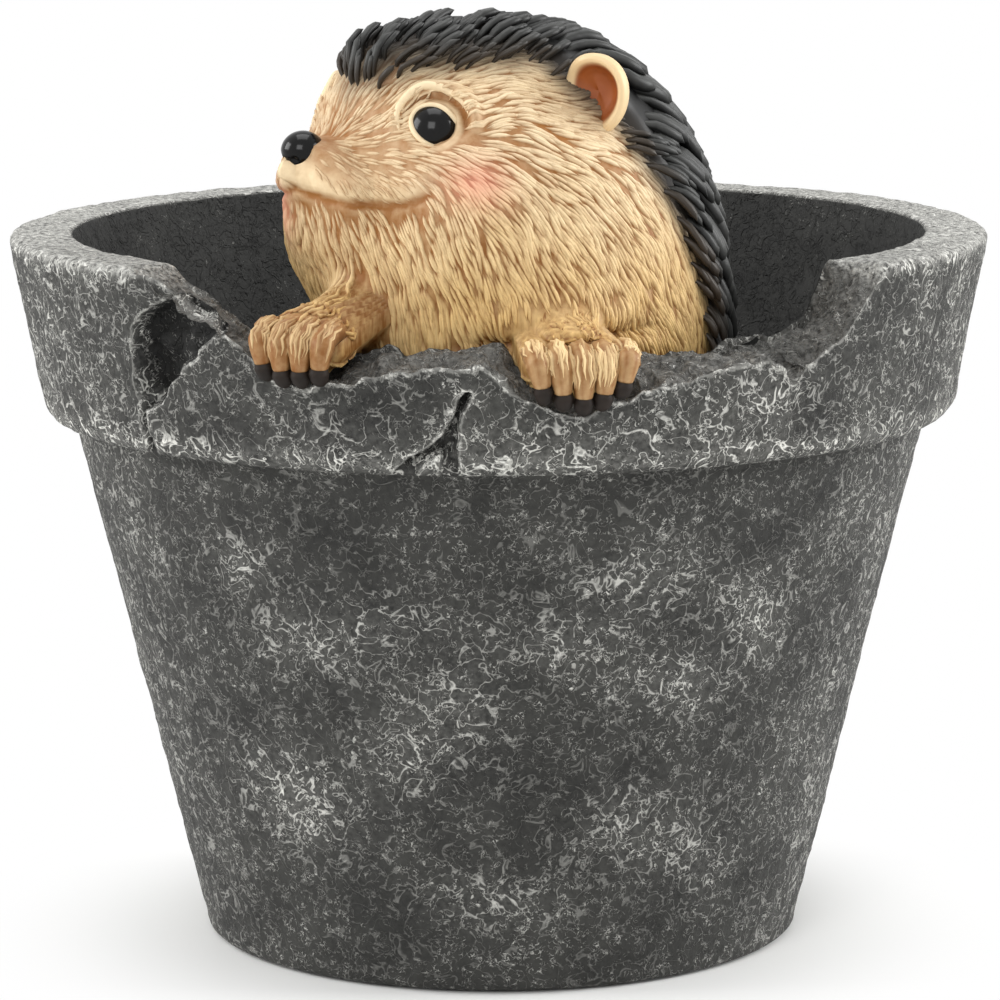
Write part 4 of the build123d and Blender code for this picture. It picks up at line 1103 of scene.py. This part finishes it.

# %% [markdown]
# The quills are charcoal paint with a satin sheen, rubbed a little paler along their backs, and brown where they grow
# out of the fur. The paler grey along their backs is partly rubbed paint and partly a painted highlight.

# %% Quill finish
quill_paint, tree, shader = new_material("satin_charcoal_paint")
mark = {m: add(tree, "ShaderNodeAttribute", {"attribute_name": m}).outputs["Fac"] for m in ("crest", "tip")}
place = add(tree, "ShaderNodeTexCoord").outputs["Object"]
grain = add(tree, "ShaderNodeTexNoise", Vector=place, Scale=300.0, Detail=4.0).outputs["Fac"]
black = add(tree, "ShaderNodeMix", {"data_type": "RGBA"}, _0=grain, _6=linear("#0d0d0d"), _7=linear("#1c1c1b"))
# Paler grey along the quills' backs: partly rubbed paint, partly a painted highlight.
rub = add(tree, "ShaderNodeMath", {"operation": "MULTIPLY"}, _0=mark["crest"], _1=grain).outputs[0]
worn = add(tree, "ShaderNodeMix", {"data_type": "RGBA"}, _0=rub, _6=black.outputs[2], _7=linear("#4c4d4b"))
brown = add(tree, "ShaderNodeMix", {"data_type": "RGBA"}, _0=mark["tip"], _6=linear("#30281f"), _7=worn.outputs[2])
tree.links.new(brown.outputs[2], shader.inputs["Base Color"])
shader.inputs["Roughness"].default_value = 0.45
shader.inputs["Specular IOR Level"].default_value = 0.3
for piece in (coat, quills, fringe):
    piece.data.materials.append(quill_paint)

# %% [markdown]
# The ears are cream at the rim with a burnt-orange wash in the bowl, the claws dark brown, the eyes and nose glossy
# black enamel, and the bung is black rubber.

# %% Small finishes
ear_paint, tree, shader = new_material("cream_paint_with_burnt_orange_wash")
bowl = add(tree, "ShaderNodeAttribute", {"attribute_name": "bowl"}).outputs["Fac"]
place = add(tree, "ShaderNodeTexCoord").outputs["Object"]
cloud = add(tree, "ShaderNodeTexNoise", Vector=place, Scale=160.0, Detail=3.0).outputs["Fac"]
rust = add(tree, "ShaderNodeMix", {"data_type": "RGBA"}, _0=cloud, _6=linear("#74340c"), _7=linear("#a4571e"))
tint = add(tree, "ShaderNodeMix", {"data_type": "RGBA"}, _0=bowl, _6=linear("#dcc094"), _7=rust.outputs[2])
tree.links.new(tint.outputs[2], shader.inputs["Base Color"])
shader.inputs["Roughness"].default_value = 0.5
for piece in ear_pieces.values():
    piece.data.materials.append(ear_paint)

claw_paint, tree, shader = new_material("dark_brown_claw_paint")
place = add(tree, "ShaderNodeTexCoord").outputs["Object"]
cloud = add(tree, "ShaderNodeTexNoise", Vector=place, Scale=420.0, Detail=4.0).outputs["Fac"]
tint = add(tree, "ShaderNodeMix", {"data_type": "RGBA"}, _0=cloud, _6=linear("#0c0a08"), _7=linear("#2b2018"))
tree.links.new(tint.outputs[2], shader.inputs["Base Color"])
shader.inputs["Roughness"].default_value = 0.55
shader.inputs["Specular IOR Level"].default_value = 0.25
for piece in claw_pieces.values():
    piece.data.materials.append(claw_paint)

gloss, tree, shader = new_material("gloss_black_enamel")
place = add(tree, "ShaderNodeTexCoord").outputs["Object"]
cloud = add(tree, "ShaderNodeTexNoise", Vector=place, Scale=350.0, Detail=2.0).outputs["Fac"]
tint = add(tree, "ShaderNodeMix", {"data_type": "RGBA"}, _0=cloud, _6=linear("#080808"), _7=linear("#0f0e0e"))
sheen = add(tree, "ShaderNodeMapRange", Value=cloud, To_Min=0.1, To_Max=0.2)
tree.links.new(tint.outputs[2], shader.inputs["Base Color"])
tree.links.new(sheen.outputs[0], shader.inputs["Roughness"])
shader.inputs["Specular IOR Level"].default_value = 0.22
for piece in (nose, *eye_pieces.values()):
    piece.data.materials.append(gloss)
rubber, tree, shader = new_material("black_rubber")
place = add(tree, "ShaderNodeTexCoord").outputs["Object"]
cloud = add(tree, "ShaderNodeTexNoise", Vector=place, Scale=250.0, Detail=4.0).outputs["Fac"]
tint = add(tree, "ShaderNodeMix", {"data_type": "RGBA"}, _0=cloud, _6=linear("#191919"), _7=linear("#272726"))
tree.links.new(tint.outputs[2], shader.inputs["Base Color"])
shader.inputs["Roughness"].default_value = 0.7
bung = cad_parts["drain_plug"].data.materials
bung.clear()
bung.append(rubber)

# %% Camera
camera_data = bpy.data.cameras.new("camera")
camera_data.lens = 176.64
camera_data.sensor_width = 36.0
camera_data.shift_x = 0.004
camera = bpy.data.objects.new("camera", camera_data)
camera.location = (0, -0.99595, 0.25679)
camera.rotation_euler = (np.pi / 2 - 0.1679, 0.0044, 0)
bpy.context.scene.collection.objects.link(camera)
bpy.context.scene.camera = camera

# %% Light and floor


def soft_box(name, place, target, size, watts):
    """A square area lamp at a place, turned to its target."""
    lamp = bpy.data.lights.new(name, "AREA")
    lamp.size, lamp.energy = size, watts
    obj = bpy.data.objects.new(name, lamp)
    obj.location = place
    direction = np.array(target, float) - np.array(place, float)
    obj.rotation_euler = Vector(direction).to_track_quat("-Z", "Y").to_euler()
    bpy.context.scene.collection.objects.link(obj)
    return obj


def seen_directly(tree):
    """One for rays from the camera, from a mirror or through glass, so that they all meet the same white studio."""
    path = add(tree, "ShaderNodeLightPath").outputs
    either = add(tree, "ShaderNodeMath", {"operation": "MAXIMUM"}, _0=path["Is Camera Ray"], _1=path["Is Glossy Ray"])
    return add(tree, "ShaderNodeMath", {"operation": "MAXIMUM"}, _0=either.outputs[0],
               _1=path["Is Transmission Ray"]).outputs[0]


soft_box("left_lamp", (-2.6, 0.0, 1.2), (0, -0.03, 0.12), 1.5, 53)
soft_box("right_lamp", (2.6, 0.1, 1.1), (0, -0.03, 0.12), 1.5, 71)
soft_box("front_lamp", (-0.6, -2.6, 1.6), (0, 0, 0.12), 1.4, 34)
soft_box("top_lamp", (0.0, 0.4, 3.0), (0, 0, 0.1), 2.0, 42)
world = bpy.data.worlds.new("studio")
world.use_nodes = True
bpy.context.scene.world = world
sky = world.node_tree
ray = seen_directly(sky)
lit = sky.nodes["Background"]
lit.inputs["Color"].default_value = (1, 1, 1, 1)
lit.inputs["Strength"].default_value = 0.4
clear = add(sky, "ShaderNodeBackground", Color=(1, 1, 1, 1), Strength=1.0)
both = add(sky, "ShaderNodeMixShader", _0=ray, _1=lit.outputs[0], _2=clear.outputs[0])
sky.links.new(both.outputs[0], sky.nodes["World Output"].inputs["Surface"])
floor_points = np.array([[-3000, -1500, -0.4], [3000, -1500, -0.4], [3000, 3000, -0.4], [-3000, 3000, -0.4]], float)
floor = put_mesh("floor", floor_points, np.array([[0, 1, 2, 3]]))
paper, tree, shader = new_material("white_paper_backdrop")
shader.inputs["Base Color"].default_value = linear("#f8f8f6")
shader.inputs["Roughness"].default_value = 0.9
spot = add(tree, "ShaderNodeTexCoord").outputs["Object"]
away = add(tree, "ShaderNodeVectorMath", {"operation": "LENGTH"}, _0=spot).outputs["Value"]
fade = add(tree, "ShaderNodeMapRange", {"interpolation_type": "SMOOTHSTEP"}, Value=away, From_Min=0.055, From_Max=0.115)
share = add(tree, "ShaderNodeMath", {"operation": "MULTIPLY"}, _0=fade.outputs[0], _1=seen_directly(tree)).outputs[0]
white = add(tree, "ShaderNodeEmission", Color=(1, 1, 1, 1), Strength=1.0)
both = add(tree, "ShaderNodeMixShader", _0=share, _1=shader.outputs[0], _2=white.outputs[0])
tree.links.new(both.outputs[0], tree.nodes["Material Output"].inputs["Surface"])
floor.data.materials.append(paper)
bpy.context.scene.view_settings.view_transform = "Standard"
